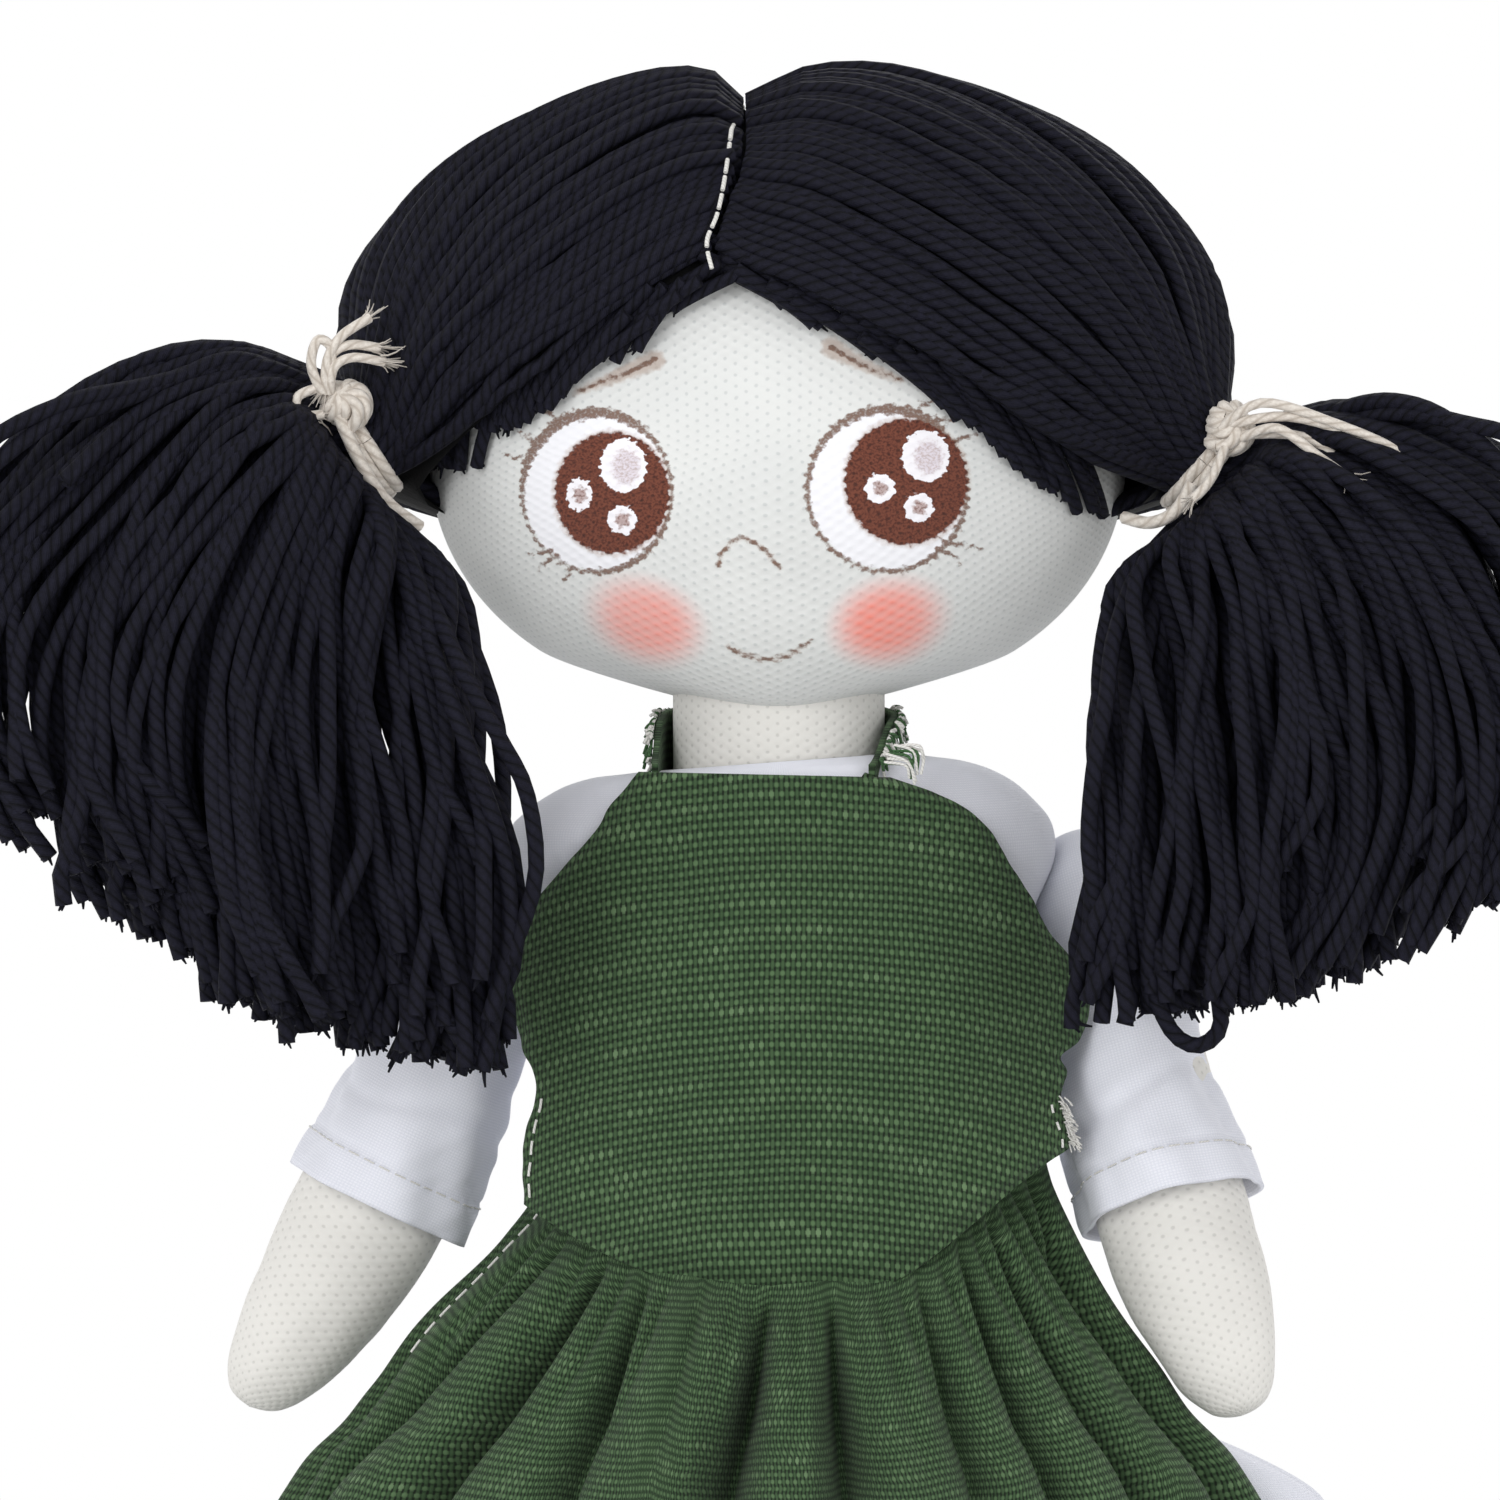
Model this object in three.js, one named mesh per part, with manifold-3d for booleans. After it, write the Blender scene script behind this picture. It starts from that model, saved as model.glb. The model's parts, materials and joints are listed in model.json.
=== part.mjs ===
// A handmade rag doll, 350 mm tall, standing with its face towards -Y.
// Knit casings hold soft stuffing, and the doll wears a white cotton dress, a green linen apron,
// cloth shoes and a wig of yarn tied in two bunches.
// Millimetres, +Z up, origin on the floor under the middle of the doll.
import * as THREE from 'three';
import Module from 'manifold-3d';
import { mergeVertices } from 'three/addons/utils/BufferGeometryUtils.js';

const wasm = await Module();
wasm.setup();

// Clearances and thicknesses of cloth
const CLEARANCE = 0.3;
const TURNING_CLEARANCE = 0.5;
const STUFFING_CLEARANCE = 0.6;
const KNIT = 1.0;
const COTTON = 1.0;
const LINEN = 1.1;

// Heights of the doll, from the floor up
const HIP_HEIGHT = 150;
const TORSO_LENGTH = 100;
const NECK_SHOWING = 9;

// Stuffed torso: half widths and half depths at heights above the hips
const TORSO_X = 1.5;
const TORSO_STATIONS = [
  { up: -5, wide: 0, deep: 0 },
  { up: -4, wide: 18, deep: 12 },
  { up: 3, wide: 28, deep: 18.5 },
  { up: 14, wide: 32, deep: 21.5 },
  { up: 36, wide: 31, deep: 21 },
  { up: 54, wide: 32, deep: 22.5 },
  { up: 68, wide: 32.5, deep: 23 },
  { up: 82, wide: 29.5, deep: 21 },
  { up: 92, wide: 24.5, deep: 18.5 },
  { up: 98, wide: 18.5, deep: 16.8 },
];

// Neck and head
const NECK_X = -1;
const NECK_RADIUS = 15.5;
const NECK_IN_TORSO = 5.5;
const NECK_IN_HEAD = 4;
const NECK_NOD = 5;
const HEAD_HALF_WIDTH = 50.7;
const HEAD_HALF_DEPTH = 38;
const HEAD_ABOVE = 46.4;
const HEAD_BELOW = 37.4;

// Yarn wig
const WIG_X = 0.5;
const WIG_Y = 2;
const WIG_HALF_WIDTH = 63.5;
const WIG_HALF_DEPTH = 45;
const WIG_LIFT = 8.6;
const WIG_ABOVE = 45;
const WIG_BELOW = 52;
const WIG_FRONT_EDGE = 26.6;
const WIG_SIDE_EDGE = -12.4;
const WIG_NAPE_EDGE = -28;
const WIG_PEAK_X = -10;
const PARTING_X = -6;
const PARTING_DEPTH = 3.2;
const PARTING_WIDTH = 6;
const PARTING_THREAD = 0.45;
const FRINGE_LENGTH = 8;
const FRINGE_DROP_OUTSIDE = 6;
const FRINGE_THICKNESS = 2.4;
const FRINGE_TEMPLE = 55;
const FRINGE_LEFT = { from: -142, to: -101 };
const FRINGE_RIGHT = { from: -93, to: -38 };

// Bunches of yarn and the yarn that ties them
const BUNCH_ROOT = 7.5;
const TIE_YARN = 0.9;
const TIE_KNOT = 3.2;
const TIE_OUT = 60;
const TIE_Y = -14;
const TIE_NECK = 8;
const TIE_NECK_HALF = 4.6;
const LEFT_TIE_UP = -0.4;
const RIGHT_TIE_UP = -3.4;
const LEFT_TIE_SLOPE = 26;
const RIGHT_TIE_SLOPE = 35;
const LEFT_BUNCH_DROOP = 10;
const RIGHT_BUNCH_DROOP = 5;
const DROOP_SHARE = 0.45;

// Edges of each bunch, from its cut ends to its root, measured from the tie:
// outer edge (outX, outZ), inner edge (inX, inZ), depth from the tie and half depth
const LEFT_BUNCH = [
  { outX: 36, outZ: -60, inX: -14, inZ: -86, back: -22, half: 5 },
  { outX: 45, outZ: -55, inX: -21, inZ: -88, back: -22, half: 9.5 },
  { outX: 58, outZ: -45, inX: -24, inZ: -74, back: -22, half: 11.5 },
  { outX: 66, outZ: -32, inX: -24, inZ: -57, back: -21, half: 11.5 },
  { outX: 63, outZ: -16, inX: -21, inZ: -42, back: -18, half: 11 },
  { outX: 50, outZ: -3, inX: -12, inZ: -29, back: -14, half: 10.5 },
  { outX: 34, outZ: 7, inX: -4, inZ: -19, back: -10, half: 9.5 },
  { outX: 20, outZ: 7.5, inX: 1.5, inZ: -12.5, back: -5, half: 8 },
];
const RIGHT_BUNCH = [
  { outX: 33, outZ: -65, inX: -11, inZ: -76, back: -22, half: 5 },
  { outX: 42, outZ: -60, inX: -17, inZ: -77, back: -22, half: 9.5 },
  { outX: 55, outZ: -50, inX: -18, inZ: -65, back: -22, half: 11.5 },
  { outX: 64, outZ: -36, inX: -18, inZ: -51, back: -21, half: 11.5 },
  { outX: 62, outZ: -20, inX: -17, inZ: -38, back: -18, half: 11 },
  { outX: 52, outZ: -7, inX: -12, inZ: -27, back: -14, half: 10.5 },
  { outX: 36, outZ: 3, inX: -5, inZ: -19, back: -10, half: 9.5 },
  { outX: 20, outZ: 6, inX: 1, inZ: -12, back: -5, half: 8 },
];

// Arms: each hangs from its shoulder point along a splayed line
const SHOULDER_OUT = 43.5;
const SHOULDER_UP = 80;
const SHOULDER_Y = 6;
const ARM_LENGTH = 79;
const LEFT_ARM_SPLAY = 26;
const RIGHT_ARM_SPLAY = 15;
const LEFT_ARM_BOW = -3.5;
const RIGHT_ARM_BOW = 0;
const LEFT_ARM_LEAN = 0;
const RIGHT_ARM_LEAN = 16;
const ARM_STATIONS = [
  { up: 0, wide: 0, deep: 0 },
  { up: 2, wide: 4.6, deep: 3.6 },
  { up: 6, wide: 7, deep: 5.8 },
  { up: 13, wide: 9.2, deep: 7.6 },
  { up: 22, wide: 10.8, deep: 9.2 },
  { up: 32, wide: 11.2, deep: 10 },
  { up: 46, wide: 10.8, deep: 10.2 },
  { up: 64, wide: 10, deep: 10 },
  { up: 79, wide: 9, deep: 9 },
];
const SLEEVE_LENGTH = 47;
const SLEEVE_HEM_HALF = 13;
const SLEEVE_CAP_RADIUS = 11.5;
const SEAM_RING_INNER = 4.4;
const SEAM_RING_OUTER = 6.4;
const ARMHOLE_RADIUS = 7.4;

// Legs, feet and shoes
const HIP_OUT = 18;
const HIP_BALL = 13.5;
const LEG_OPENING = 6.5;
const LEG_SWING = 30;
const SWING_TO_SPARE = 2;
const SOLE = 2.2;
const FOOT_FORWARD = 8;
const LEG_STATIONS = [
  { up: 0, wide: 10.4, deep: 17.6, front: FOOT_FORWARD },
  { up: 4, wide: 11.2, deep: 18.6, front: FOOT_FORWARD },
  { up: 10, wide: 10.6, deep: 15.5, front: 5.5 },
  { up: 18, wide: 9.4, deep: 10, front: 1 },
  { up: 28, wide: 9.4, deep: 9.4, front: 0 },
  { up: 50, wide: 11.6, deep: 11.6, front: 0 },
  { up: 78, wide: 11.2, deep: 11.2, front: 0 },
  { up: 112, wide: 12.8, deep: 12.8, front: 0 },
];
const SHOE_WALL = 1.4;
const SHOE_HEIGHT = 15;
const SHOE_GAP = 1.2;
const SOLE_TUCK = 0.8;

// Dress and apron
const DRESS_WAIST = 24;
const DRESS_NECKLINE = 97.5;
const DRESS_SKIRT_LENGTH = 107;
const DRESS_BACK_FULLNESS = 7;
const APRON_SIDE_SEAM = 37;
const APRON_SEAM_DIP = 13;
const APRON_HEM_HEIGHT = 74;
const SKIRT_LAYER_GAP = 3.2;
const FOLDS = 12;
const FOLD_AT_HEM = 5.5;
const FOLD_AT_WAIST = 0.6;
const SKIRT_STATIONS = [
  { down: 0, wide: 37.5, deep: 26.5 },
  { down: 13, wide: 44, deep: 31 },
  { down: 29, wide: 55, deep: 40 },
  { down: 42, wide: 65, deep: 48 },
  { down: 75, wide: 80, deep: 65 },
  { down: 113, wide: 90, deep: 78 },
];
const APRON_LEFT_EDGE = 98;
const APRON_RIGHT_EDGE = 79;
const BIB_BULGE = 46.5;
const BIB_BELLY = 4.2;
const BIB_BELOW_NECK = 1;
const BIB_LEAN = -2.8;
const SEAM_RIGHT_RISE = 8;
const BIB_STATIONS = [
  { up: 0, wide: 39, front: 27.5 },
  { up: 9, wide: 39, front: 27 },
  { up: 19, wide: 37.5, front: 26.2 },
  { up: 26, wide: 38.5, front: 26 },
  { up: 34, wide: 41.5, front: 26 },
  { up: 42, wide: 41.5, front: 25.6 },
  { up: 52, wide: 36, front: 24.6 },
  { up: 61, wide: 30, front: 22.8 },
  { up: 68, wide: 24.5, front: 21 },
  { up: 73, wide: 20, front: 19.6 },
];
const STRAP_WIDTH = 6.5;
const STRAP_THICKNESS = 1.2;
const STRAP_RADIUS = 18.2;
const STRAP_INSET = 0.06;
const WAIST_TIE_WIDTH = 7;
const TIE_FROM_EDGE = 3;
const BOW_LOOP = 13;
const BOW_KNOT = 3.4;
const BOW_LOOP_SLOPE = 12;
const BOW_TAIL_WIDTH = 5;
const BOW_TAIL_LENGTH = 17;
const BOW_TAIL_SPREAD = 18;
const BOW_TAIL_LEAN = 50;

// Heights worked out from the driving sizes
const neckBase = HIP_HEIGHT + TORSO_LENGTH;
const chinHeight = neckBase + NECK_SHOWING;
const headHeight = chinHeight + HEAD_BELOW;
const wigHeight = headHeight + WIG_LIFT;
const shoulderHeight = HIP_HEIGHT + SHOULDER_UP;
const dressWaist = HIP_HEIGHT + DRESS_WAIST;
const apronSideSeam = HIP_HEIGHT + APRON_SIDE_SEAM;
const apronFrontSeam = apronSideSeam - APRON_SEAM_DIP;
const bibTop = neckBase - BIB_BELOW_NECK;

const degrees = THREE.MathUtils.degToRad;
const mix = THREE.MathUtils.lerp;
const point = (x, y, z) => new THREE.Vector3(x, y, z);

// Values between stations on a smooth curve, with t from 0 to 1
function smooth(stations, t) {
  const place = THREE.MathUtils.clamp(t, 0, 1) * (stations.length - 1);
  const k = Math.min(Math.floor(place), stations.length - 2);
  const f = place - k;
  const near = (i) => stations[THREE.MathUtils.clamp(i, 0, stations.length - 1)];
  const result = {};
  for (const key of Object.keys(stations[0])) {
    const [a, b, c, d] = [near(k - 1)[key], near(k)[key], near(k + 1)[key], near(k + 2)[key]];
    const slope = c - a;
    const curve = 2 * a - 5 * b + 4 * c - d;
    const twist = 3 * b - a - 3 * c + d;
    result[key] = 0.5 * (2 * b + slope * f + curve * f * f + twist * f * f * f);
  }
  return result;
}

// Values at one height of a list of rising stations, by straight steps along the named key
function atHeight(stations, key, height) {
  let k = 0;
  while (k < stations.length - 2 && stations[k + 1][key] < height) {
    k += 1;
  }
  const a = stations[k];
  const b = stations[k + 1];
  const f = THREE.MathUtils.clamp((height - a[key]) / (b[key] - a[key]), 0, 1);
  const result = {};
  for (const name of Object.keys(a)) {
    result[name] = mix(a[name], b[name], f);
  }
  return result;
}

// A surface moved along its own normal. Surfaces run anticlockwise with u and upwards with v.
function offset(surface, distance) {
  const STEP = 1e-3;
  const OFF_POLE = 0.012;
  const TOO_SHORT = 1e-5;
  const normalAt = (u, v) => {
    const across = surface(u + STEP, v).sub(surface(u - STEP, v));
    const along = surface(u, Math.min(v + STEP, 1)).sub(surface(u, Math.max(v - STEP, 0)));
    return across.cross(along);
  };
  return (u, v) => {
    let normal = normalAt(u, v);
    if (normal.length() < TOO_SHORT) {
      const inside = v < 0.5 ? v + OFF_POLE : v - OFF_POLE;
      normal = point(0, 0, 0);
      for (const quarter of [0, 0.25, 0.5, 0.75]) {
        normal.add(normalAt(quarter, inside));
      }
    }
    return surface(u, v).add(normal.normalize().multiplyScalar(distance));
  };
}

// Rows of points on a surface; a closed surface repeats its first column
function gridOf(surface, columns, rows, closed) {
  const grid = [];
  for (let j = 0; j <= rows; j += 1) {
    const line = [];
    for (let i = 0; i < columns; i += 1) {
      line.push(surface(i / columns, j / rows));
    }
    line.push(closed ? line[0] : surface(1, j / rows));
    grid.push(line);
  }
  return grid;
}

function addStrip(triangles, lower, upper) {
  for (let i = 0; i < lower.length - 1; i += 1) {
    triangles.push([lower[i], lower[i + 1], upper[i + 1]]);
    triangles.push([lower[i], upper[i + 1], upper[i]]);
  }
}

function addGrid(triangles, grid, inwards) {
  for (let j = 0; j < grid.length - 1; j += 1) {
    if (inwards) {
      addStrip(triangles, grid[j + 1], grid[j]);
    } else {
      addStrip(triangles, grid[j], grid[j + 1]);
    }
  }
}

// Joins triangles into one closed geometry with its faces outwards
function weld(triangles) {
  const numbers = new Map();
  const positions = [];
  const index = [];
  const numberOf = (p) => {
    const key = [p.x, p.y, p.z].map((value) => Math.round(value * 1e4)).join();
    if (!numbers.has(key)) {
      numbers.set(key, numbers.size);
      positions.push(p.x, p.y, p.z);
    }
    return numbers.get(key);
  };
  let volume = 0;
  for (const [a, b, c] of triangles) {
    const corners = [a, b, c].map(numberOf);
    if (new Set(corners).size === 3) {
      index.push(...corners);
      volume += a.dot(b.clone().cross(c));
    }
  }
  if (volume < 0) {
    index.reverse();
  }
  const geometry = new THREE.BufferGeometry();
  geometry.setAttribute('position', new THREE.Float32BufferAttribute(positions, 3));
  geometry.setIndex(index);
  geometry.computeVertexNormals();
  return geometry;
}

// A solid inside one closed surface, with flat ends where the surface has no pole
function solid(surface, columns, rows) {
  const triangles = [];
  const grid = gridOf(surface, columns, rows, true);
  addGrid(triangles, grid, false);
  for (const end of [0, rows]) {
    const line = grid[end];
    const middle = point(0, 0, 0);
    line.slice(1).forEach((p) => middle.add(p));
    middle.divideScalar(line.length - 1);
    for (let i = 0; i < line.length - 1; i += 1) {
      const pair = end === 0 ? [line[i + 1], line[i]] : [line[i], line[i + 1]];
      triangles.push([...pair, middle]);
    }
  }
  return weld(triangles);
}

// A cloth wall between two surfaces: closed round like a tube or a bag, or an open panel
function wall(outer, inner, columns, rows, { closed = true, innerRows = rows } = {}) {
  const triangles = [];
  const out = gridOf(outer, columns, rows, closed);
  const inside = gridOf(inner, columns, innerRows, closed);
  addGrid(triangles, out, false);
  addGrid(triangles, inside, true);
  addStrip(triangles, inside[0], out[0]);
  addStrip(triangles, out[rows], inside[innerRows]);
  if (!closed) {
    addStrip(triangles, out.map((line) => line[0]), inside.map((line) => line[0]));
    addStrip(triangles, inside.map((line) => line[columns]), out.map((line) => line[columns]));
  }
  return weld(triangles);
}

// A round thread along a list of points
function thread(points, radius, sides) {
  const curve = new THREE.CatmullRomCurve3(points);
  const rows = points.length * 2;
  const frames = curve.computeFrenetFrames(rows, false);
  return solid((u, v) => {
    const k = Math.round(v * rows);
    const angle = u * 2 * Math.PI;
    const sideways = frames.normals[k].clone().multiplyScalar(Math.cos(angle) * radius);
    const upwards = frames.binormals[k].clone().multiplyScalar(Math.sin(angle) * radius);
    return curve.getPointAt(v).add(sideways).add(upwards);
  }, sides, rows);
}

// Boolean joins and cuts
function toManifold(geometry) {
  const bare = geometry.clone();
  bare.deleteAttribute('normal');
  bare.deleteAttribute('uv');
  const merged = mergeVertices(bare, 1e-4);
  return new wasm.Manifold(new wasm.Mesh({
    numProp: 3,
    vertProperties: new Float32Array(merged.attributes.position.array),
    triVerts: new Uint32Array(merged.index.array),
  }));
}

function fromManifold(shape) {
  const mesh = shape.getMesh();
  const geometry = new THREE.BufferGeometry();
  geometry.setAttribute('position', new THREE.Float32BufferAttribute(mesh.vertProperties, 3));
  geometry.setIndex(Array.from(mesh.triVerts));
  geometry.computeVertexNormals();
  return geometry;
}

function cut(geometry, ...tools) {
  let shape = toManifold(geometry);
  for (const tool of tools) {
    shape = shape.subtract(toManifold(tool));
  }
  return fromManifold(shape);
}

function join(...parts) {
  let shape = toManifold(parts[0]);
  for (const part of parts.slice(1)) {
    shape = shape.add(toManifold(part));
  }
  return fromManifold(shape);
}

function ball(radius, centre, columns = 20, rows = 12) {
  const geometry = new THREE.SphereGeometry(radius, columns, rows);
  return geometry.translate(centre.x, centre.y, centre.z);
}

function rodAlongX(radius, length, centre, sides = 24) {
  const geometry = new THREE.CylinderGeometry(radius, radius, length, sides);
  return geometry.rotateZ(Math.PI / 2).translate(centre.x, centre.y, centre.z);
}

// Finishes of the cloths and yarns
const finishes = {
  knit: { color: 0xe9e8df, roughness: 0.9 },
  stuffing: { color: 0xf4f3ee, roughness: 1 },
  cotton: { color: 0xe4e5ee, roughness: 0.85 },
  linen: { color: 0x3d5638, roughness: 0.9 },
  hair: { color: 0x17181f, roughness: 0.8 },
  thread: { color: 0xf2f1ec, roughness: 0.8 },
  tie: { color: 0xcfc6ba, roughness: 0.9 },
};

const doll = new THREE.Group();

function add(name, geometry, finish) {
  const material = new THREE.MeshStandardMaterial({ ...finishes[finish], metalness: 0 });
  const mesh = new THREE.Mesh(geometry, material);
  mesh.name = name;
  doll.add(mesh);
}

// Torso
function torsoSurface(u, v) {
  const station = smooth(TORSO_STATIONS, v);
  const angle = u * 2 * Math.PI;
  const middle = mix(TORSO_X, NECK_X, THREE.MathUtils.smoothstep(v, 0.7, 1));
  return point(
    middle + station.wide * Math.cos(angle),
    station.deep * Math.sin(angle),
    HIP_HEIGHT + station.up,
  );
}

const hipPoints = [-1, 1].map((side) => point(TORSO_X + side * HIP_OUT, 0, HIP_HEIGHT));

// Room for a leg to swing: a round socket about the hip that widens downwards
function legRoom(hip) {
  const radius = HIP_BALL + TURNING_CLEARANCE;
  const swing = degrees(LEG_SWING + SWING_TO_SPARE);
  const reach = 2 * HIP_BALL;
  const footX = radius * Math.cos(swing) + reach * Math.sin(swing);
  const footY = radius * Math.sin(swing) - reach * Math.cos(swing);
  const steps = 8;
  const shape = new THREE.Shape();
  shape.moveTo(footX, footY);
  for (let k = 0; k <= steps; k += 1) {
    const angle = mix(swing, Math.PI - swing, k / steps);
    shape.lineTo(radius * Math.cos(angle), radius * Math.sin(angle));
  }
  shape.lineTo(-footX, footY);
  const room = new THREE.ExtrudeGeometry(shape, { depth: 2 * radius, bevelEnabled: false });
  room.translate(0, 0, -radius).rotateX(Math.PI / 2).rotateZ(Math.PI / 2);
  return room.translate(hip.x, hip.y, hip.z);
}

function makeTorso() {
  const STUFFED_SHARE = 0.93;
  const sockets = hipPoints.map(legRoom);
  const casing = wall(torsoSurface, offset(torsoSurface, -KNIT), 20, 12, { innerRows: 10 });
  add('torso_casing', cut(casing, ...sockets), 'knit');
  const fill = offset(torsoSurface, -KNIT - STUFFING_CLEARANCE);
  const nodding = NECK_RADIUS * Math.sin(degrees(NECK_NOD));
  const top = neckBase - NECK_IN_TORSO - nodding - CLEARANCE;
  const flattened = (u, v) => {
    const p = fill(u, v);
    p.z = Math.min(p.z, top);
    return p;
  };
  const filling = solid((u, v) => flattened(u, v * STUFFED_SHARE), 20, 10);
  add('torso_stuffing', cut(filling, ...sockets), 'stuffing');
}

// Neck
function makeNeck() {
  const low = neckBase - NECK_IN_TORSO;
  const high = chinHeight + NECK_IN_HEAD;
  const tube = (radius) => (u, v) => {
    const angle = u * 2 * Math.PI;
    return point(NECK_X + radius * Math.cos(angle), radius * Math.sin(angle), mix(low, high, v));
  };
  add('neck_casing', wall(tube(NECK_RADIUS), tube(NECK_RADIUS - KNIT), 24, 1), 'knit');
  add('neck_stuffing', solid(tube(NECK_RADIUS - KNIT - CLEARANCE), 24, 1), 'stuffing');
}

// Head: an egg that is wider than it is tall, open at the neck
function headSurface(grow) {
  return (u, v) => {
    const angle = u * 2 * Math.PI;
    const opening = NECK_RADIUS + TURNING_CLEARANCE;
    const across = Math.hypot(
      (HEAD_HALF_WIDTH + grow) * Math.cos(angle) / opening,
      (HEAD_HALF_DEPTH + grow) * Math.sin(angle) / opening,
    );
    const bottom = Math.PI - Math.asin(1 / across);
    const polar = bottom * (1 - v);
    const height = polar < Math.PI / 2 ? HEAD_ABOVE : HEAD_BELOW;
    return point(
      NECK_X + (HEAD_HALF_WIDTH + grow) * Math.sin(polar) * Math.cos(angle),
      (HEAD_HALF_DEPTH + grow) * Math.sin(polar) * Math.sin(angle),
      headHeight + (height + grow) * Math.cos(polar),
    );
  };
}

function makeHead() {
  const outer = headSurface(0);
  const inner = headSurface(-KNIT);
  add('head_casing', wall(outer, inner, 24, 11, { innerRows: 8 }), 'knit');
  const fill = headSurface(-KNIT - STUFFING_CLEARANCE);
  const floor = chinHeight + NECK_IN_HEAD + CLEARANCE;
  const flattened = (u, v) => {
    const p = fill(u, v);
    p.z = Math.max(p.z, floor);
    return p;
  };
  add('head_stuffing', solid(flattened, 24, 8), 'stuffing');
}

// Wig: height of its lower edge all round the head, lowest at the nape
function wigEdge(angle) {
  const across = Math.cos(angle);
  const peak = (WIG_PEAK_X - NECK_X) / WIG_HALF_WIDTH;
  const share = Math.abs(across - peak) / (across > peak ? 1 - peak : 1 + peak);
  const front = mix(WIG_FRONT_EDGE, WIG_SIDE_EDGE, share ** 1.6);
  const behind = mix(WIG_SIDE_EDGE, WIG_NAPE_EDGE, Math.abs(Math.sin(angle)) ** 1.5);
  return headHeight + (Math.sin(angle) < 0 ? front : behind);
}

// A point on the head at a heading and a height
function onHead(angle, height, grow) {
  const above = height - headHeight;
  const reach = (above > 0 ? HEAD_ABOVE : HEAD_BELOW) + grow;
  const ring = Math.sqrt(Math.max(1 - (above / reach) ** 2, 0));
  return point(
    NECK_X + (HEAD_HALF_WIDTH + grow) * ring * Math.cos(angle),
    (HEAD_HALF_DEPTH + grow) * ring * Math.sin(angle),
    height,
  );
}

// A point on the outside of the wig, from its lower edge (v = 0) to its crown (v = 1)
function onWig(angle, v) {
  const low = wigEdge(angle) - wigHeight;
  const edge = Math.acos(THREE.MathUtils.clamp(low / (low > 0 ? WIG_ABOVE : WIG_BELOW), -1, 1));
  const polar = edge * (1 - v);
  const height = polar < Math.PI / 2 ? WIG_ABOVE : WIG_BELOW;
  const p = point(
    WIG_X + WIG_HALF_WIDTH * Math.sin(polar) * Math.cos(angle),
    WIG_Y + WIG_HALF_DEPTH * Math.sin(polar) * Math.sin(angle),
    wigHeight + height * Math.cos(polar),
  );
  const fromParting = (p.x - PARTING_X) / PARTING_WIDTH;
  const backwards = 1 - THREE.MathUtils.smoothstep(p.y, 0, WIG_HALF_DEPTH);
  const valley = PARTING_DEPTH * Math.exp(-(fromParting ** 2)) * backwards;
  p.z -= valley * Math.cos(polar);
  p.y += valley * Math.sin(polar) * 0.5;
  return p;
}

function insideWig(angle, v) {
  const above = wigEdge(angle) - headHeight;
  const reach = (above > 0 ? HEAD_ABOVE : HEAD_BELOW) + CLEARANCE;
  const polar = Math.acos(THREE.MathUtils.clamp(above / reach, -1, 1)) * (1 - v);
  const height = polar < Math.PI / 2 ? HEAD_ABOVE : HEAD_BELOW;
  return point(
    NECK_X + (HEAD_HALF_WIDTH + CLEARANCE * 2) * Math.sin(polar) * Math.cos(angle),
    (HEAD_HALF_DEPTH + CLEARANCE * 2) * Math.sin(polar) * Math.sin(angle),
    headHeight + (height + CLEARANCE * 2) * Math.cos(polar),
  );
}

const ties = [
  {
    side: -1,
    name: 'left',
    up: LEFT_TIE_UP,
    slope: LEFT_TIE_SLOPE,
    droop: LEFT_BUNCH_DROOP,
    bunch: LEFT_BUNCH,
  },
  {
    side: 1,
    name: 'right',
    up: RIGHT_TIE_UP,
    slope: RIGHT_TIE_SLOPE,
    droop: RIGHT_BUNCH_DROOP,
    bunch: RIGHT_BUNCH,
  },
];
for (const tie of ties) {
  tie.centre = point(tie.side * TIE_OUT, TIE_Y, headHeight + tie.up);
  tie.outwards = point(tie.side * Math.cos(degrees(tie.slope)), 0, -Math.sin(degrees(tie.slope)));
  tie.upwards = point(tie.side * Math.sin(degrees(tie.slope)), 0, Math.cos(degrees(tie.slope)));
}

function makeWig() {
  const outer = (u, v) => onWig(u * 2 * Math.PI, v);
  const inner = (u, v) => insideWig(u * 2 * Math.PI, v);
  const sockets = ties.map((tie) => ball(BUNCH_ROOT + 3 * TIE_YARN + CLEARANCE, tie.centre, 12, 8));
  add('hair_cap', cut(wall(outer, inner, 32, 9), ...sockets), 'hair');
}

// Fringe: short yarn on the forehead between the parting and each temple
function makeFringe(name, { from, to }) {
  const thick = (grow) => (u, v) => {
    const angle = degrees(mix(from, to, u));
    const temple = Math.min(Math.abs(angle + Math.PI / 2) / degrees(FRINGE_TEMPLE), 1);
    const top = wigEdge(angle) - 2 * CLEARANCE;
    const drop = FRINGE_LENGTH + FRINGE_DROP_OUTSIDE * Math.sin(temple * Math.PI);
    return onHead(angle, mix(top - drop, top, v), grow);
  };
  add(name, wall(thick(FRINGE_THICKNESS), thick(CLEARANCE * 2), 9, 2, { closed: false }), 'hair');
}

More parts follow.
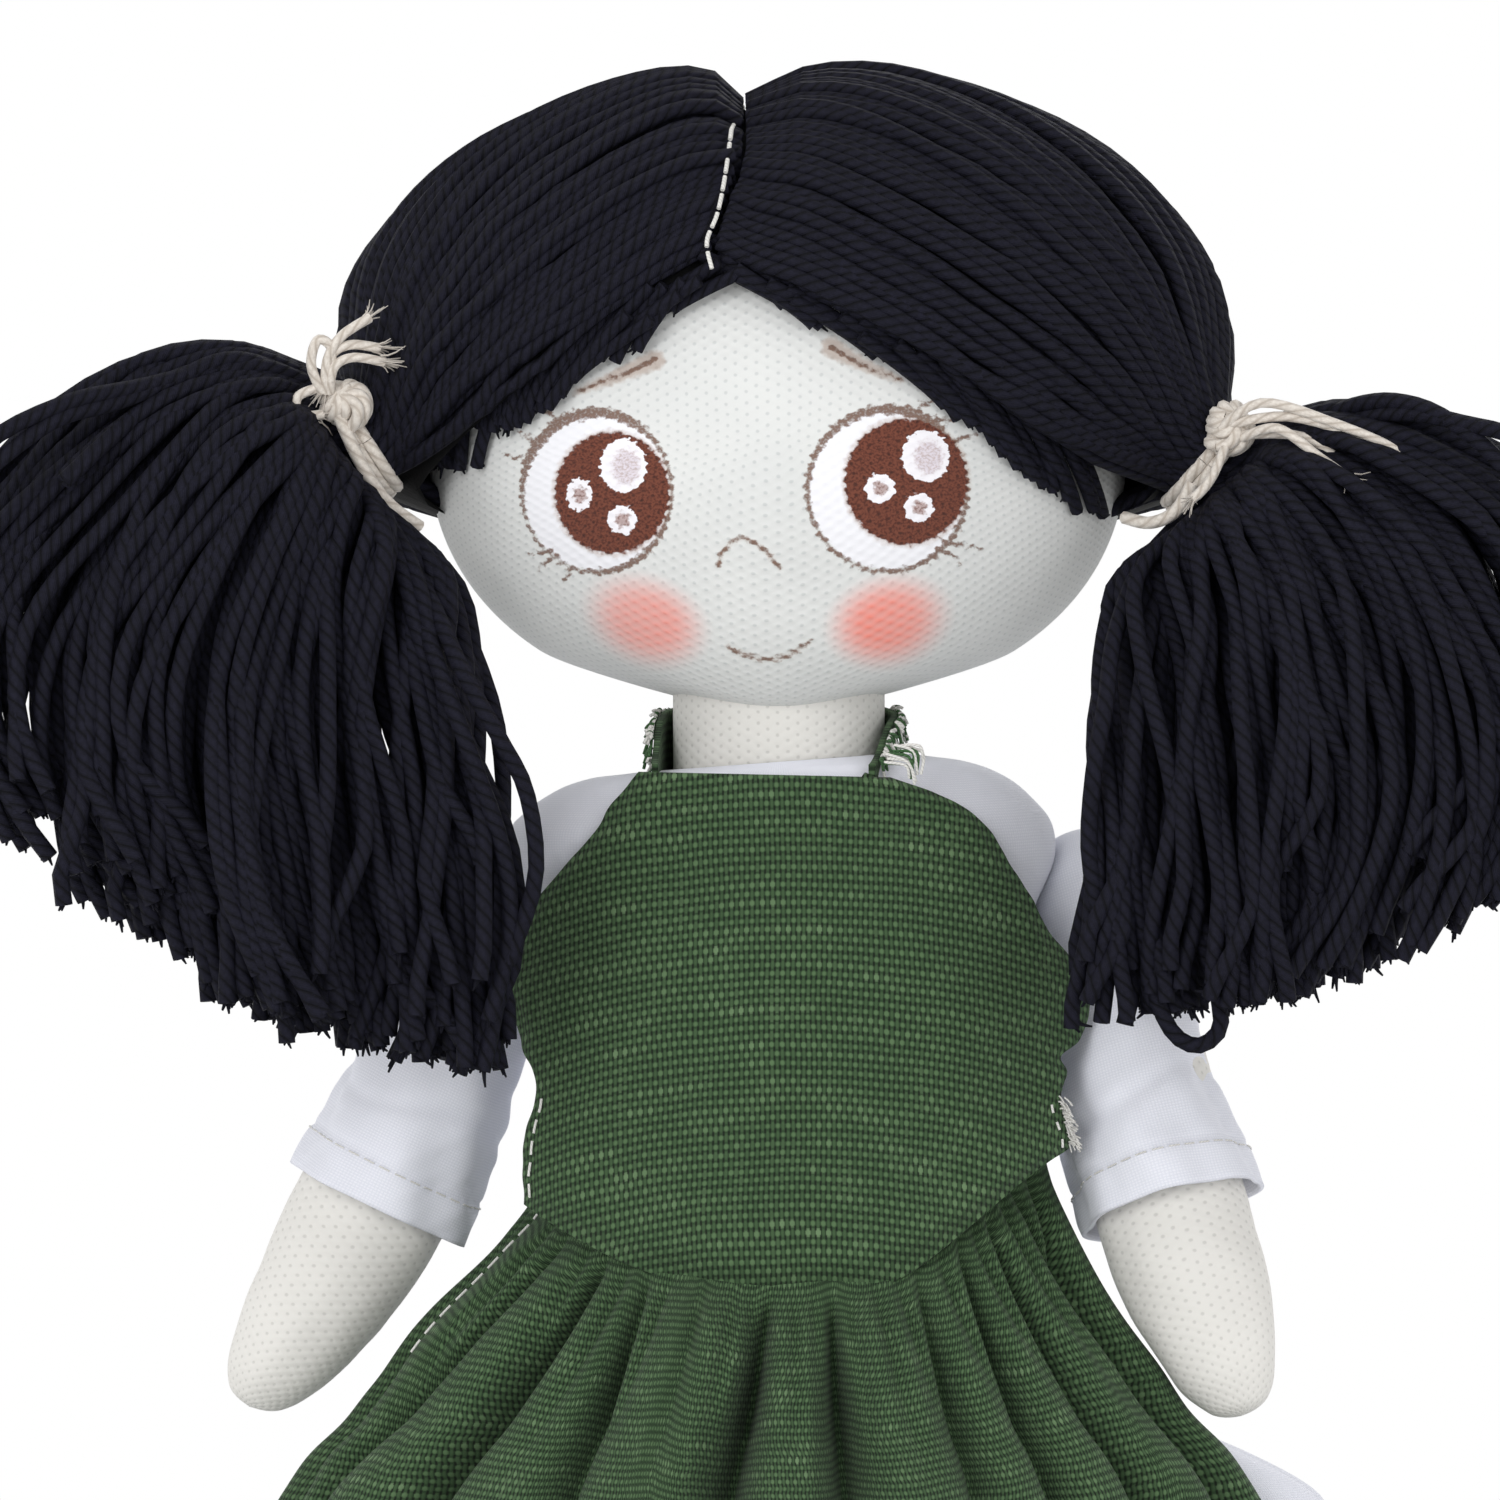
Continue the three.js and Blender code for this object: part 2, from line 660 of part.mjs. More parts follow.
// One thread sewn down the parting, from the crown to the forehead
function makeParting() {
  const stitches = 8;
  const points = [];
  for (let k = 0; k <= stitches; k += 1) {
    const v = mix(0.12, 0.86, k / stitches);
    const across = (PARTING_X - WIG_X) / WIG_HALF_WIDTH;
    const low = wigEdge(-Math.PI / 2) - wigHeight;
    const edge = Math.acos(low / WIG_ABOVE);
    const angle = -Math.acos(THREE.MathUtils.clamp(across / Math.sin(edge * (1 - v)), -1, 1));
    const p = onWig(angle, v);
    const outwards = point(0, (p.y - WIG_Y) / WIG_HALF_DEPTH, (p.z - wigHeight) / WIG_ABOVE).normalize();
    points.push(p.add(outwards.multiplyScalar(PARTING_THREAD + CLEARANCE * 3)));
  }
  add('parting_stitches', thread(points, PARTING_THREAD, 5), 'thread');
}

// A bunch of yarn: a ball at the tie, a short neck, then a fan that ends in cut yarn
function makeBunch(tie) {
  const { side, centre, outwards, upwards } = tie;
  const crossAt = (along, half) => {
    const middle = outwards.clone().multiplyScalar(along);
    const reach = upwards.clone().multiplyScalar(half);
    const upper = middle.clone().add(reach);
    const lower = middle.sub(reach);
    return { outX: upper.x * side, outZ: upper.z, inX: lower.x * side, inZ: lower.z };
  };
  const root = [
    { ...crossAt(TIE_NECK, TIE_NECK_HALF), back: -1, half: TIE_NECK_HALF },
    { ...crossAt(BUNCH_ROOT * 0.5, BUNCH_ROOT * 0.85), back: 0, half: BUNCH_ROOT * 0.85 },
    { ...crossAt(0, BUNCH_ROOT), back: 0, half: BUNCH_ROOT },
    { ...crossAt(-BUNCH_ROOT * 0.7, BUNCH_ROOT * 0.7), back: 0, half: BUNCH_ROOT * 0.7 },
    { ...crossAt(-BUNCH_ROOT, 0), back: 0, half: 0 },
  ];
  const stations = [...tie.bunch, ...root];
  const surface = (u, v) => {
    const s = smooth(stations, v);
    const angle = u * 2 * Math.PI * side;
    const middleX = (s.outX + s.inX) / 2;
    const middleZ = (s.outZ + s.inZ) / 2;
    const swing = Math.cos(angle) / 2;
    const droop = tie.droop * Math.max(1 - v / DROOP_SHARE, 0) ** 2 * Math.sin(angle) ** 2;
    return point(
      centre.x + side * (middleX + (s.outX - s.inX) * swing),
      centre.y + s.back + s.half * Math.sin(angle) * side,
      centre.z + middleZ + (s.outZ - s.inZ) * swing - droop,
    );
  };
  add(`pigtail_${tie.name}`, solid(surface, 18, stations.length - 1), 'hair');
}

// The tie: a wrap of yarn round the bunch with a knot on its upper side
function makeTie(tie) {
  const wrap = new THREE.TorusGeometry(BUNCH_ROOT + TIE_YARN + CLEARANCE, TIE_YARN, 6, 20);
  const turn = new THREE.Quaternion().setFromUnitVectors(point(0, 0, 1), tie.outwards);
  wrap.applyQuaternion(turn).translate(tie.centre.x, tie.centre.y, tie.centre.z);
  const reach = (BUNCH_ROOT + 2 * TIE_YARN + CLEARANCE) * Math.SQRT1_2;
  const knotCentre = tie.centre.clone().add(tie.upwards.clone().multiplyScalar(reach));
  knotCentre.y -= reach;
  const knot = ball(TIE_KNOT, knotCentre, 8, 6);
  const bunchRoot = ball(BUNCH_ROOT + CLEARANCE, tie.centre, 16, 10);
  add(`tie_${tie.name}`, cut(join(wrap, knot), bunchRoot), 'tie');
}

// Arms
const arms = [
  { side: -1, name: 'left', splay: LEFT_ARM_SPLAY, bow: LEFT_ARM_BOW, lean: LEFT_ARM_LEAN },
  { side: 1, name: 'right', splay: RIGHT_ARM_SPLAY, bow: RIGHT_ARM_BOW, lean: RIGHT_ARM_LEAN },
];
for (const arm of arms) {
  arm.shoulder = point(TORSO_X + arm.side * SHOULDER_OUT, SHOULDER_Y, shoulderHeight);
}

// A ring of the arm at a distance below the shoulder point; the arm leans forwards about it
function armRing(arm, below, wide, deep, u) {
  const angle = u * 2 * Math.PI;
  const splay = degrees(arm.splay);
  const bend = arm.side * arm.bow * Math.sin(Math.PI * THREE.MathUtils.clamp(below / ARM_LENGTH, 0, 1));
  const across = bend + wide * Math.cos(angle);
  const fromShoulder = point(
    arm.side * Math.sin(splay) * below + Math.cos(splay) * across,
    deep * Math.sin(angle),
    arm.side * Math.sin(splay) * across - Math.cos(splay) * below,
  );
  return fromShoulder.applyAxisAngle(point(-1, 0, 0), degrees(arm.lean)).add(arm.shoulder);
}

function makeArm(arm) {
  const skin = (u, v) => {
    const s = smooth(ARM_STATIONS, v);
    return armRing(arm, ARM_LENGTH - s.up, s.wide, s.deep, u);
  };
  add(`arm_${arm.name}_casing`, wall(skin, offset(skin, -KNIT), 14, 9, { innerRows: 7 }), 'knit');
  const filling = offset(skin, -KNIT - STUFFING_CLEARANCE);
  add(`arm_${arm.name}_stuffing`, solid(filling, 14, 7), 'stuffing');
}

// Sleeve: a tube of cotton closed over the shoulder by a round cap
function makeSleeve(arm) {
  const CAP_SHARE = 0.4;
  const skin = (thin) => (u, v) => {
    if (v > 1 - CAP_SHARE) {
      const lift = (v - 1 + CAP_SHARE) / CAP_SHARE * Math.PI / 2;
      const radius = (SLEEVE_CAP_RADIUS - thin) * Math.cos(lift);
      return armRing(arm, -(SLEEVE_CAP_RADIUS - thin) * Math.sin(lift), radius, radius, u);
    }
    const down = 1 - v / (1 - CAP_SHARE);
    const half = mix(SLEEVE_CAP_RADIUS, SLEEVE_HEM_HALF, THREE.MathUtils.smoothstep(down, 0.1, 1)) - thin;
    return armRing(arm, SLEEVE_LENGTH * down, half, half - 0.3 * down, u);
  };
  add(`sleeve_${arm.name}`, wall(skin(0), skin(COTTON), 16, 10, { innerRows: 5 }), 'cotton');
}

// Ring of stitches that joins the sleeve and arm to the side of the torso
function makeShoulderSeam(arm) {
  const torsoHalf = atHeight(TORSO_STATIONS, 'up', SHOULDER_UP - SEAM_RING_OUTER).wide;
  const near = torsoHalf + CLEARANCE - SHOULDER_OUT;
  const far = (radius) => -Math.sqrt((SLEEVE_CAP_RADIUS + CLEARANCE + TURNING_CLEARANCE) ** 2 - radius ** 2);
  const between = (SEAM_RING_INNER + SEAM_RING_OUTER) / 2;
  const profile = [
    new THREE.Vector2(SEAM_RING_INNER, near),
    new THREE.Vector2(SEAM_RING_OUTER, near),
    new THREE.Vector2(SEAM_RING_OUTER, far(SEAM_RING_OUTER)),
    new THREE.Vector2(between, far(between)),
    new THREE.Vector2(SEAM_RING_INNER, far(SEAM_RING_INNER)),
    new THREE.Vector2(SEAM_RING_INNER, near),
  ];
  const ring = new THREE.LatheGeometry(profile, 20);
  ring.rotateZ(arm.side > 0 ? -Math.PI / 2 : Math.PI / 2);
  ring.translate(arm.shoulder.x, arm.shoulder.y, arm.shoulder.z);
  ring.deleteAttribute('normal');
  ring.deleteAttribute('uv');
  const merged = mergeVertices(ring, 1e-4).toNonIndexed();
  const place = merged.attributes.position;
  const triangles = [];
  for (let i = 0; i < place.count; i += 3) {
    triangles.push([0, 1, 2].map((k) => new THREE.Vector3().fromBufferAttribute(place, i + k)));
  }
  add(`shoulder_seam_${arm.name}`, weld(triangles), 'thread');
}

// Legs: rings that are level, with the foot reaching forwards, and a round top in the hip socket
function makeLeg(name, hip) {
  const BALL_SHARE = 0.25;
  const top = { up: HIP_HEIGHT - SOLE, wide: HIP_BALL, deep: HIP_BALL, front: 0 };
  const stations = [...LEG_STATIONS, top];
  const skin = (u, v) => {
    const angle = u * 2 * Math.PI;
    if (v > 1 - BALL_SHARE) {
      const open = Math.acos(LEG_OPENING / HIP_BALL);
      const lift = (v - 1 + BALL_SHARE) / BALL_SHARE * open;
      const radius = HIP_BALL * Math.cos(lift);
      const height = hip.z + HIP_BALL * Math.sin(lift);
      return point(hip.x + radius * Math.cos(angle), radius * Math.sin(angle), height);
    }
    const s = smooth(stations, v / (1 - BALL_SHARE));
    const height = SOLE + CLEARANCE * (1 - v) + s.up;
    return point(hip.x + s.wide * Math.cos(angle), s.deep * Math.sin(angle) - s.front, height);
  };
  const rows = 11;
  const withSole = (surface) => (u, v) => {
    const k = Math.round(v * rows);
    return k === 0 ? point(hip.x, -FOOT_FORWARD, surface(u, 0).z) : surface(u, (k - 1) / (rows - 1));
  };
  const lining = (distance) => {
    const moved = offset(skin, -distance);
    return (u, v) => {
      const p = moved(u, v);
      p.z = Math.max(p.z, SOLE + CLEARANCE + distance);
      return p;
    };
  };
  add(`leg_${name}_casing`, wall(withSole(skin), withSole(lining(KNIT)), 14, rows), 'knit');
  const filling = lining(KNIT + STUFFING_CLEARANCE);
  add(`leg_${name}_stuffing`, solid(filling, 14, rows - 1), 'stuffing');
}

// Shoe: a low cloth slipper with a flat sole
function makeShoe(name, hip) {
  const foot = (height) => atHeight(LEG_STATIONS, 'up', height - SOLE - CLEARANCE);
  const levels = [0, 0, SOLE, 5, 8.5, 12, SHOE_HEIGHT];
  const skin = (gap, floor) => (u, v) => {
    const k = Math.round(v * (levels.length - 1));
    const angle = u * 2 * Math.PI;
    const height = Math.max(levels[k], floor);
    const s = foot(height);
    const tuck = k === 1 ? -SOLE_TUCK : 0;
    const share = k === 0 ? 0 : 1;
    return point(
      hip.x + share * (s.wide + gap + tuck) * Math.cos(angle),
      share * (s.deep + gap + tuck) * Math.sin(angle) - s.front,
      height,
    );
  };
  const outer = skin(SHOE_GAP + SHOE_WALL, 0);
  const inner = skin(SHOE_GAP, SOLE);
  add(`shoe_${name}`, wall(outer, inner, 18, levels.length - 1), 'linen');
}

// Dress bodice, fitted over the torso with an armhole on each side
function makeBodice() {
  const SEARCH_STEPS = 400;
  const shareAt = (up) => {
    let step = 0;
    while (step < SEARCH_STEPS && smooth(TORSO_STATIONS, (step + 1) / SEARCH_STEPS).up <= up) {
      step += 1;
    }
    return step / SEARCH_STEPS;
  };
  const from = shareAt(DRESS_WAIST);
  const to = shareAt(DRESS_NECKLINE);
  const layer = (distance) => {
    const moved = offset(torsoSurface, distance);
    return (u, v) => moved(u, mix(from, to, v));
  };
  const armholes = arms.map((arm) => rodAlongX(ARMHOLE_RADIUS, SHOULDER_OUT, arm.shoulder));
  const shape = wall(layer(CLEARANCE * 2 + COTTON), layer(CLEARANCE * 2), 24, 7);
  add('dress_bodice', cut(shape, ...armholes), 'cotton');
}

// Gathered skirts share one bell shape with the same folds
function skirtPoint(angle, height, inwards, fuller) {
  const down = apronSideSeam - height;
  const s = atHeight(SKIRT_STATIONS, 'down', down);
  const reach = THREE.MathUtils.clamp(down / SKIRT_STATIONS[SKIRT_STATIONS.length - 1].down, 0, 1);
  const fold = mix(FOLD_AT_WAIST, FOLD_AT_HEM, reach) * Math.cos(FOLDS * angle);
  const swell = fold - inwards + fuller;
  return point(
    TORSO_X + (s.wide + swell) * Math.cos(angle),
    (s.deep + swell) * Math.sin(angle),
    height,
  );
}

function makeDressSkirt() {
  const waist = atHeight(TORSO_STATIONS, 'up', DRESS_WAIST);
  const top = dressWaist - CLEARANCE * 2;
  const layer = (thin) => (u, v) => {
    const angle = u * 2 * Math.PI;
    const height = mix(dressWaist - DRESS_SKIRT_LENGTH, top, v);
    const behind = THREE.MathUtils.smoothstep(Math.sin(angle), -0.02, 0.4);
    const fuller = DRESS_BACK_FULLNESS * behind * Math.sin(Math.PI * Math.min((1 - v) * 1.5, 1) * 0.5);
    const p = skirtPoint(angle, height, SKIRT_LAYER_GAP + thin, fuller);
    const gather = THREE.MathUtils.smoothstep(v, 0.8, 1);
    const spare = COTTON + CLEARANCE * 4 - thin;
    const seat = point(
      TORSO_X + (waist.wide + spare) * Math.cos(angle),
      (waist.deep + spare) * Math.sin(angle),
      height,
    );
    return p.lerp(seat, gather);
  };
  add('dress_skirt', wall(layer(0), layer(COTTON), 72, 6), 'cotton');
}

// Waist seam of the apron: it dips at the front and climbs on the right
function seamRise(across) {
  return SEAM_RIGHT_RISE * THREE.MathUtils.smoothstep(across, 0.2, 0.95);
}

function apronSeam(angle) {
  const dip = APRON_SEAM_DIP * Math.max(-Math.sin(angle), 0) ** 1.5;
  return apronSideSeam - dip + seamRise(Math.cos(angle));
}

function makeApronSkirt() {
  const front = -Math.PI / 2;
  const from = front - degrees(APRON_LEFT_EDGE);
  const to = front + degrees(APRON_RIGHT_EDGE);
  const layer = (thin) => (u, v) => {
    const angle = mix(from, to, u);
    const top = apronSeam(angle) - CLEARANCE * 2;
    return skirtPoint(angle, mix(APRON_HEM_HEIGHT, top, v), thin - LINEN, 0);
  };
  add('apron_skirt', wall(layer(0), layer(LINEN), 38, 6, { closed: false }), 'linen');
}

// Bib of the apron, wrapped over the chest, its waist edge dipping at the front
function bibPoint(u, v, thin) {
  const s = smooth(BIB_STATIONS, v);
  const across = (2 * u - 1) * s.wide;
  const lean = Math.sqrt(1 - (across / Math.max(BIB_BULGE, s.wide * 1.14)) ** 2);
  const sides = APRON_SEAM_DIP * (2 * u - 1) ** 2 + seamRise(2 * u - 1);
  const rise = sides * (1 - v) ** 3;
  const middle = TORSO_X + BIB_LEAN * THREE.MathUtils.smoothstep(v, 0.5, 1);
  const belly = BIB_BELLY * (1 - v) ** 4;
  return point(
    middle + across * (1 - thin / s.wide),
    -(s.front + belly + LINEN - thin) * lean,
    mix(apronFrontSeam, bibTop, s.up / BIB_STATIONS[BIB_STATIONS.length - 1].up) + rise,
  );
}

function makeBib() {
  const layer = (thin) => (u, v) => bibPoint(u, v, thin);
  add('apron_bib', wall(layer(0), layer(LINEN), 14, 10, { closed: false }), 'linen');
}

// Halter strap that runs from the bib's corners round the back of the neck
function makeNeckStrap() {
  const seat = bibPoint(1 - STRAP_INSET, 1, LINEN / 2);
  const endAngle = Math.atan2(seat.x - NECK_X, -seat.y);
  const endRadius = Math.hypot(seat.x - NECK_X, seat.y) - STRAP_THICKNESS / 2;
  const layer = (grow) => (u, v) => {
    const angle = -Math.PI / 2 + mix(endAngle, 2 * Math.PI - endAngle, u);
    const radius = mix(STRAP_RADIUS, endRadius, Math.abs(2 * u - 1) ** 6) + grow;
    return point(
      NECK_X + radius * Math.cos(angle),
      radius * Math.sin(angle),
      bibTop + CLEARANCE + STRAP_WIDTH * v,
    );
  };
  add('neck_strap', wall(layer(STRAP_THICKNESS), layer(0), 24, 1, { closed: false }), 'linen');
}

// Waist tie across the back, and its bow
function makeWaistTie() {
  const middle = HIP_HEIGHT + APRON_SIDE_SEAM - WAIST_TIE_WIDTH / 2;
  const body = atHeight(TORSO_STATIONS, 'up', APRON_SIDE_SEAM - WAIST_TIE_WIDTH / 2);
  const bodice = COTTON + CLEARANCE * 5;
  const from = degrees(APRON_RIGHT_EDGE - 90 + TIE_FROM_EDGE);
  const to = degrees(270 - APRON_LEFT_EDGE - TIE_FROM_EDGE);
  const layer = (grow) => (u, v) => {
    const angle = mix(from, to, u);
    return point(
      TORSO_X + (body.wide + bodice + grow) * Math.cos(angle),
      (body.deep + bodice + grow) * Math.sin(angle),
      middle + WAIST_TIE_WIDTH * (v - 0.5),
    );
  };
  add('waist_tie', wall(layer(LINEN), layer(0), 16, 1, { closed: false }), 'linen');
  const back = body.deep + bodice + LINEN + CLEARANCE * 2;
  const knot = ball(BOW_KNOT, point(TORSO_X, back + BOW_KNOT, middle), 8, 6);
  const loops = [-1, 1].map((side) => {
    const loop = new THREE.SphereGeometry(1, 10, 6);
    loop.scale(BOW_LOOP / 2, BOW_KNOT / 2, BOW_LOOP / 3).rotateY(side * degrees(BOW_LOOP_SLOPE));
    return loop.translate(TORSO_X + side * BOW_LOOP * 0.55, back + BOW_KNOT, middle + 1);
  });
  const tails = [-1, 1].map((side) => {
    const tail = new THREE.BoxGeometry(BOW_TAIL_WIDTH, LINEN, BOW_TAIL_LENGTH);
    tail.translate(0, 0, -BOW_TAIL_LENGTH / 2);
    tail.rotateY(side * degrees(BOW_TAIL_SPREAD)).rotateX(degrees(BOW_TAIL_LEAN));
    return tail.translate(TORSO_X + side, back + BOW_KNOT, middle);
  });
  add('waist_bow', join(knot, ...loops, ...tails), 'linen');
}

makeTorso();
makeNeck();
makeHead();
makeWig();
makeFringe('fringe_left', FRINGE_LEFT);
makeFringe('fringe_right', FRINGE_RIGHT);
makeParting();
for (const tie of ties) {
  makeBunch(tie);
  makeTie(tie);
}
for (const arm of arms) {
  makeArm(arm);
  makeSleeve(arm);
  makeShoulderSeam(arm);
}
makeLeg('left', hipPoints[0]);
makeLeg('right', hipPoints[1]);
makeShoe('left', hipPoints[0]);
makeShoe('right', hipPoints[1]);
makeBodice();
makeDressSkirt();
makeApronSkirt();
makeBib();
makeNeckStrap();
makeWaistTie();

export default doll;
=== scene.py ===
"""Looks of a handmade rag doll: knit skin, yarn hair in two bunches, cotton dress and linen apron."""
import json
import math
from math import pi, radians

import bpy
import numpy as np
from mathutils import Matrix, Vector
from numpy import cos, exp, linspace, sin


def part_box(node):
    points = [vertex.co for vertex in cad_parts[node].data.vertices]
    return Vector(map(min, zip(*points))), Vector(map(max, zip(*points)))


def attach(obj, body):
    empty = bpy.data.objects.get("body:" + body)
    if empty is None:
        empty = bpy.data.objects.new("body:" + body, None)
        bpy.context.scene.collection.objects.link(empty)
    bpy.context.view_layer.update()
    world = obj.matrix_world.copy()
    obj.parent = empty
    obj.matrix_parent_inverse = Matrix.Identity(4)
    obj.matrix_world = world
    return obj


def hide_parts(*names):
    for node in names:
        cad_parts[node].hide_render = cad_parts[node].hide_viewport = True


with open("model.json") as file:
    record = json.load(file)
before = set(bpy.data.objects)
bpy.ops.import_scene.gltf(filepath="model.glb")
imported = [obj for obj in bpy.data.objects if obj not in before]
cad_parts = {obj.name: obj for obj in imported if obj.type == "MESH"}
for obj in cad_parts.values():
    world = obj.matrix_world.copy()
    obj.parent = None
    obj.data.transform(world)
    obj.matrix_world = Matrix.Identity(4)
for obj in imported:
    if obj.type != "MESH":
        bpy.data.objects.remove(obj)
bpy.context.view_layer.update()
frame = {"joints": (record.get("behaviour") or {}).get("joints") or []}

MM = 0.001
SEED = 7
SIDES = ("left", "right")
SIGN = {"left": -1, "right": 1}

# The camera looks along +y at the photograph's plane, in millimetres
CAMERA_X, CAMERA_Z, PHOTO_WIDTH = -5.0, 252.1, 214.3
PHOTO_PLANE_Y, CAMERA_AWAY = -20.0, 1500.0


def span(node):
    """Lowest and highest corner of a CAD node, in millimetres."""
    low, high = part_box(node)
    return np.array(low) / MM, np.array(high) / MM


def joint_places(name):
    """The place of a joint on each side, in millimetres."""
    places = {joint["name"]: np.array(joint["pos_m"]) / MM for joint in frame["joints"]}
    return {side: places[name.format(side)] for side in SIDES}


# Places taken from the frame, in millimetres
NECK_LOW, NECK_HIGH = span("neck_casing")
NECK_X = (NECK_LOW[0] + NECK_HIGH[0]) / 2
NECK_R = (NECK_HIGH[0] - NECK_LOW[0]) / 2
HEAD_LOW, HEAD_HIGH = span("head_casing")
HEAD_WIDE, HEAD_DEEP, _ = (HEAD_HIGH - HEAD_LOW) / 2
HEAD_ABOVE, HEAD_BELOW = 46.4, 38.4
HEAD_C = np.array([NECK_X, 0, HEAD_HIGH[2] - HEAD_ABOVE])
WIG_LOW, WIG_HIGH = span("hair_cap")
WIG_C = np.array([(WIG_LOW[0] + WIG_HIGH[0]) / 2, 2.0, HEAD_C[2] + 8.6])
TIES = joint_places("pigtail_{}_lift")
SHOULDERS = joint_places("arm_{}_swing")
HIPS = joint_places("leg_{}_swing")
TORSO_X = (HIPS["left"][0] + HIPS["right"][0]) / 2
HIP_Z = HIPS["left"][2]


def mix(a, b, t):
    return a + (b - a) * t


def smoothstep(x, low, high):
    t = np.clip((x - low) / (high - low), 0, 1)
    return t * t * (3 - 2 * t)


def bell(x, middle, width):
    """A smooth hump, 1 at its middle."""
    return exp(-((x - middle) / width) ** 2)


def unit(vectors):
    return vectors / np.linalg.norm(vectors, axis=-1, keepdims=True)


def xyz(x, y, z):
    """Points from their coordinates, each a number or an array."""
    return np.stack(np.broadcast_arrays(x, y, z), -1)


def rings(count):
    """The angles of a full turn, as a row."""
    return linspace(0, 2 * pi, count, endpoint=False)[None, :]


def smooth_line(points, t):
    """Points on a smooth curve through a list of points, at shares t from 0 to 1."""
    points = np.asarray(points, float)
    place = np.clip(t, 0, 1) * (len(points) - 1)
    k = np.minimum(np.floor(place).astype(int), len(points) - 2)
    f = (place - k)[..., None]
    a, b, c, d = (points[np.clip(k + i, 0, len(points) - 1)] for i in (-1, 0, 1, 2))
    return 0.5 * (2 * b + (c - a) * f + (2 * a - 5 * b + 4 * c - d) * f**2
                  + (3 * b - a - 3 * c + d) * f**3)


def at(stations, place):
    """Station values at a place along the first column."""
    table = np.array(stations, float)
    table = table if table[0, 0] < table[-1, 0] else table[::-1]
    dense = smooth_line(table, linspace(0, 1, 241))
    keep = np.maximum.accumulate(dense[:, 0])
    return [np.interp(place, keep, dense[:, k]) for k in range(1, table.shape[1])]


def ripples(points, seed, size, octaves=3, waves=7):
    """Smooth random heights, about -1 to 1, at points in millimetres."""
    draw = np.random.default_rng(seed)
    total = np.zeros(points.shape[:-1])
    for octave in range(octaves):
        ways = unit(draw.normal(size=(waves, 3)))
        pitch = size * draw.uniform(0.7, 1.4, waves) / 1.9**octave
        phase = draw.uniform(0, 2 * pi, waves)
        for way, step, start in zip(ways, pitch, phase):
            total += sin(points @ way * 2 * pi / step + start) * 0.6**octave
    return total / math.sqrt(waves * 1.6)


# Meshes

def mesh_object(name, points, faces, material, values=None, uvs=None):
    """A smooth mesh in metres from points in millimetres, with named values on its points."""
    mesh = bpy.data.meshes.new(name)
    mesh.from_pydata((np.asarray(points, float) * MM).tolist(), [], faces)
    for key, numbers in (values or {}).items():
        numbers = np.asarray(numbers, np.float32).ravel()
        mesh.attributes.new(key, "FLOAT", "POINT").data.foreach_set("value", numbers)
    if uvs is not None:
        layer = mesh.uv_layers.new(name="cloth")
        layer.data.foreach_set("uv", np.asarray(uvs, np.float32).ravel())
    mesh.materials.append(material)
    mesh.polygons.foreach_set("use_smooth", [True] * len(mesh.polygons))
    mesh.update()
    return new_object(name, mesh)


def new_object(name, data):
    piece = bpy.data.objects.new(name, data)
    bpy.context.scene.collection.objects.link(piece)
    return piece


def applied(piece):
    """The piece with its modifiers made into a plain mesh."""
    evaluated = piece.evaluated_get(bpy.context.evaluated_depsgraph_get())
    mesh = bpy.data.meshes.new_from_object(evaluated)
    piece.modifiers.clear()
    old = piece.data
    piece.data = mesh
    bpy.data.meshes.remove(old)
    return piece


def finish_piece(piece, body, slot, *nodes):
    """Rides a piece on its body and hides the CAD nodes that it stands for. Its slot is not used."""
    if nodes:
        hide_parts(*nodes)
    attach(piece, body)
    return piece


def arc_uvs(points, closed):
    """UVs in millimetres along the columns and rows of a grid."""
    ring = np.concatenate([points, points[:, :1]], 1) if closed else points
    across = np.linalg.norm(np.diff(ring, axis=1), axis=2)
    along = np.linalg.norm(np.diff(ring, axis=0), axis=2)
    u = np.concatenate([np.zeros((ring.shape[0], 1)), across.cumsum(1)], 1)
    v = np.concatenate([np.zeros((1, ring.shape[1])), along.cumsum(0)], 0)
    if closed:
        u = np.broadcast_to(u.mean(0), u.shape)
        v = np.broadcast_to(v.mean(1)[:, None], v.shape)
    return np.stack([u, v], -1)


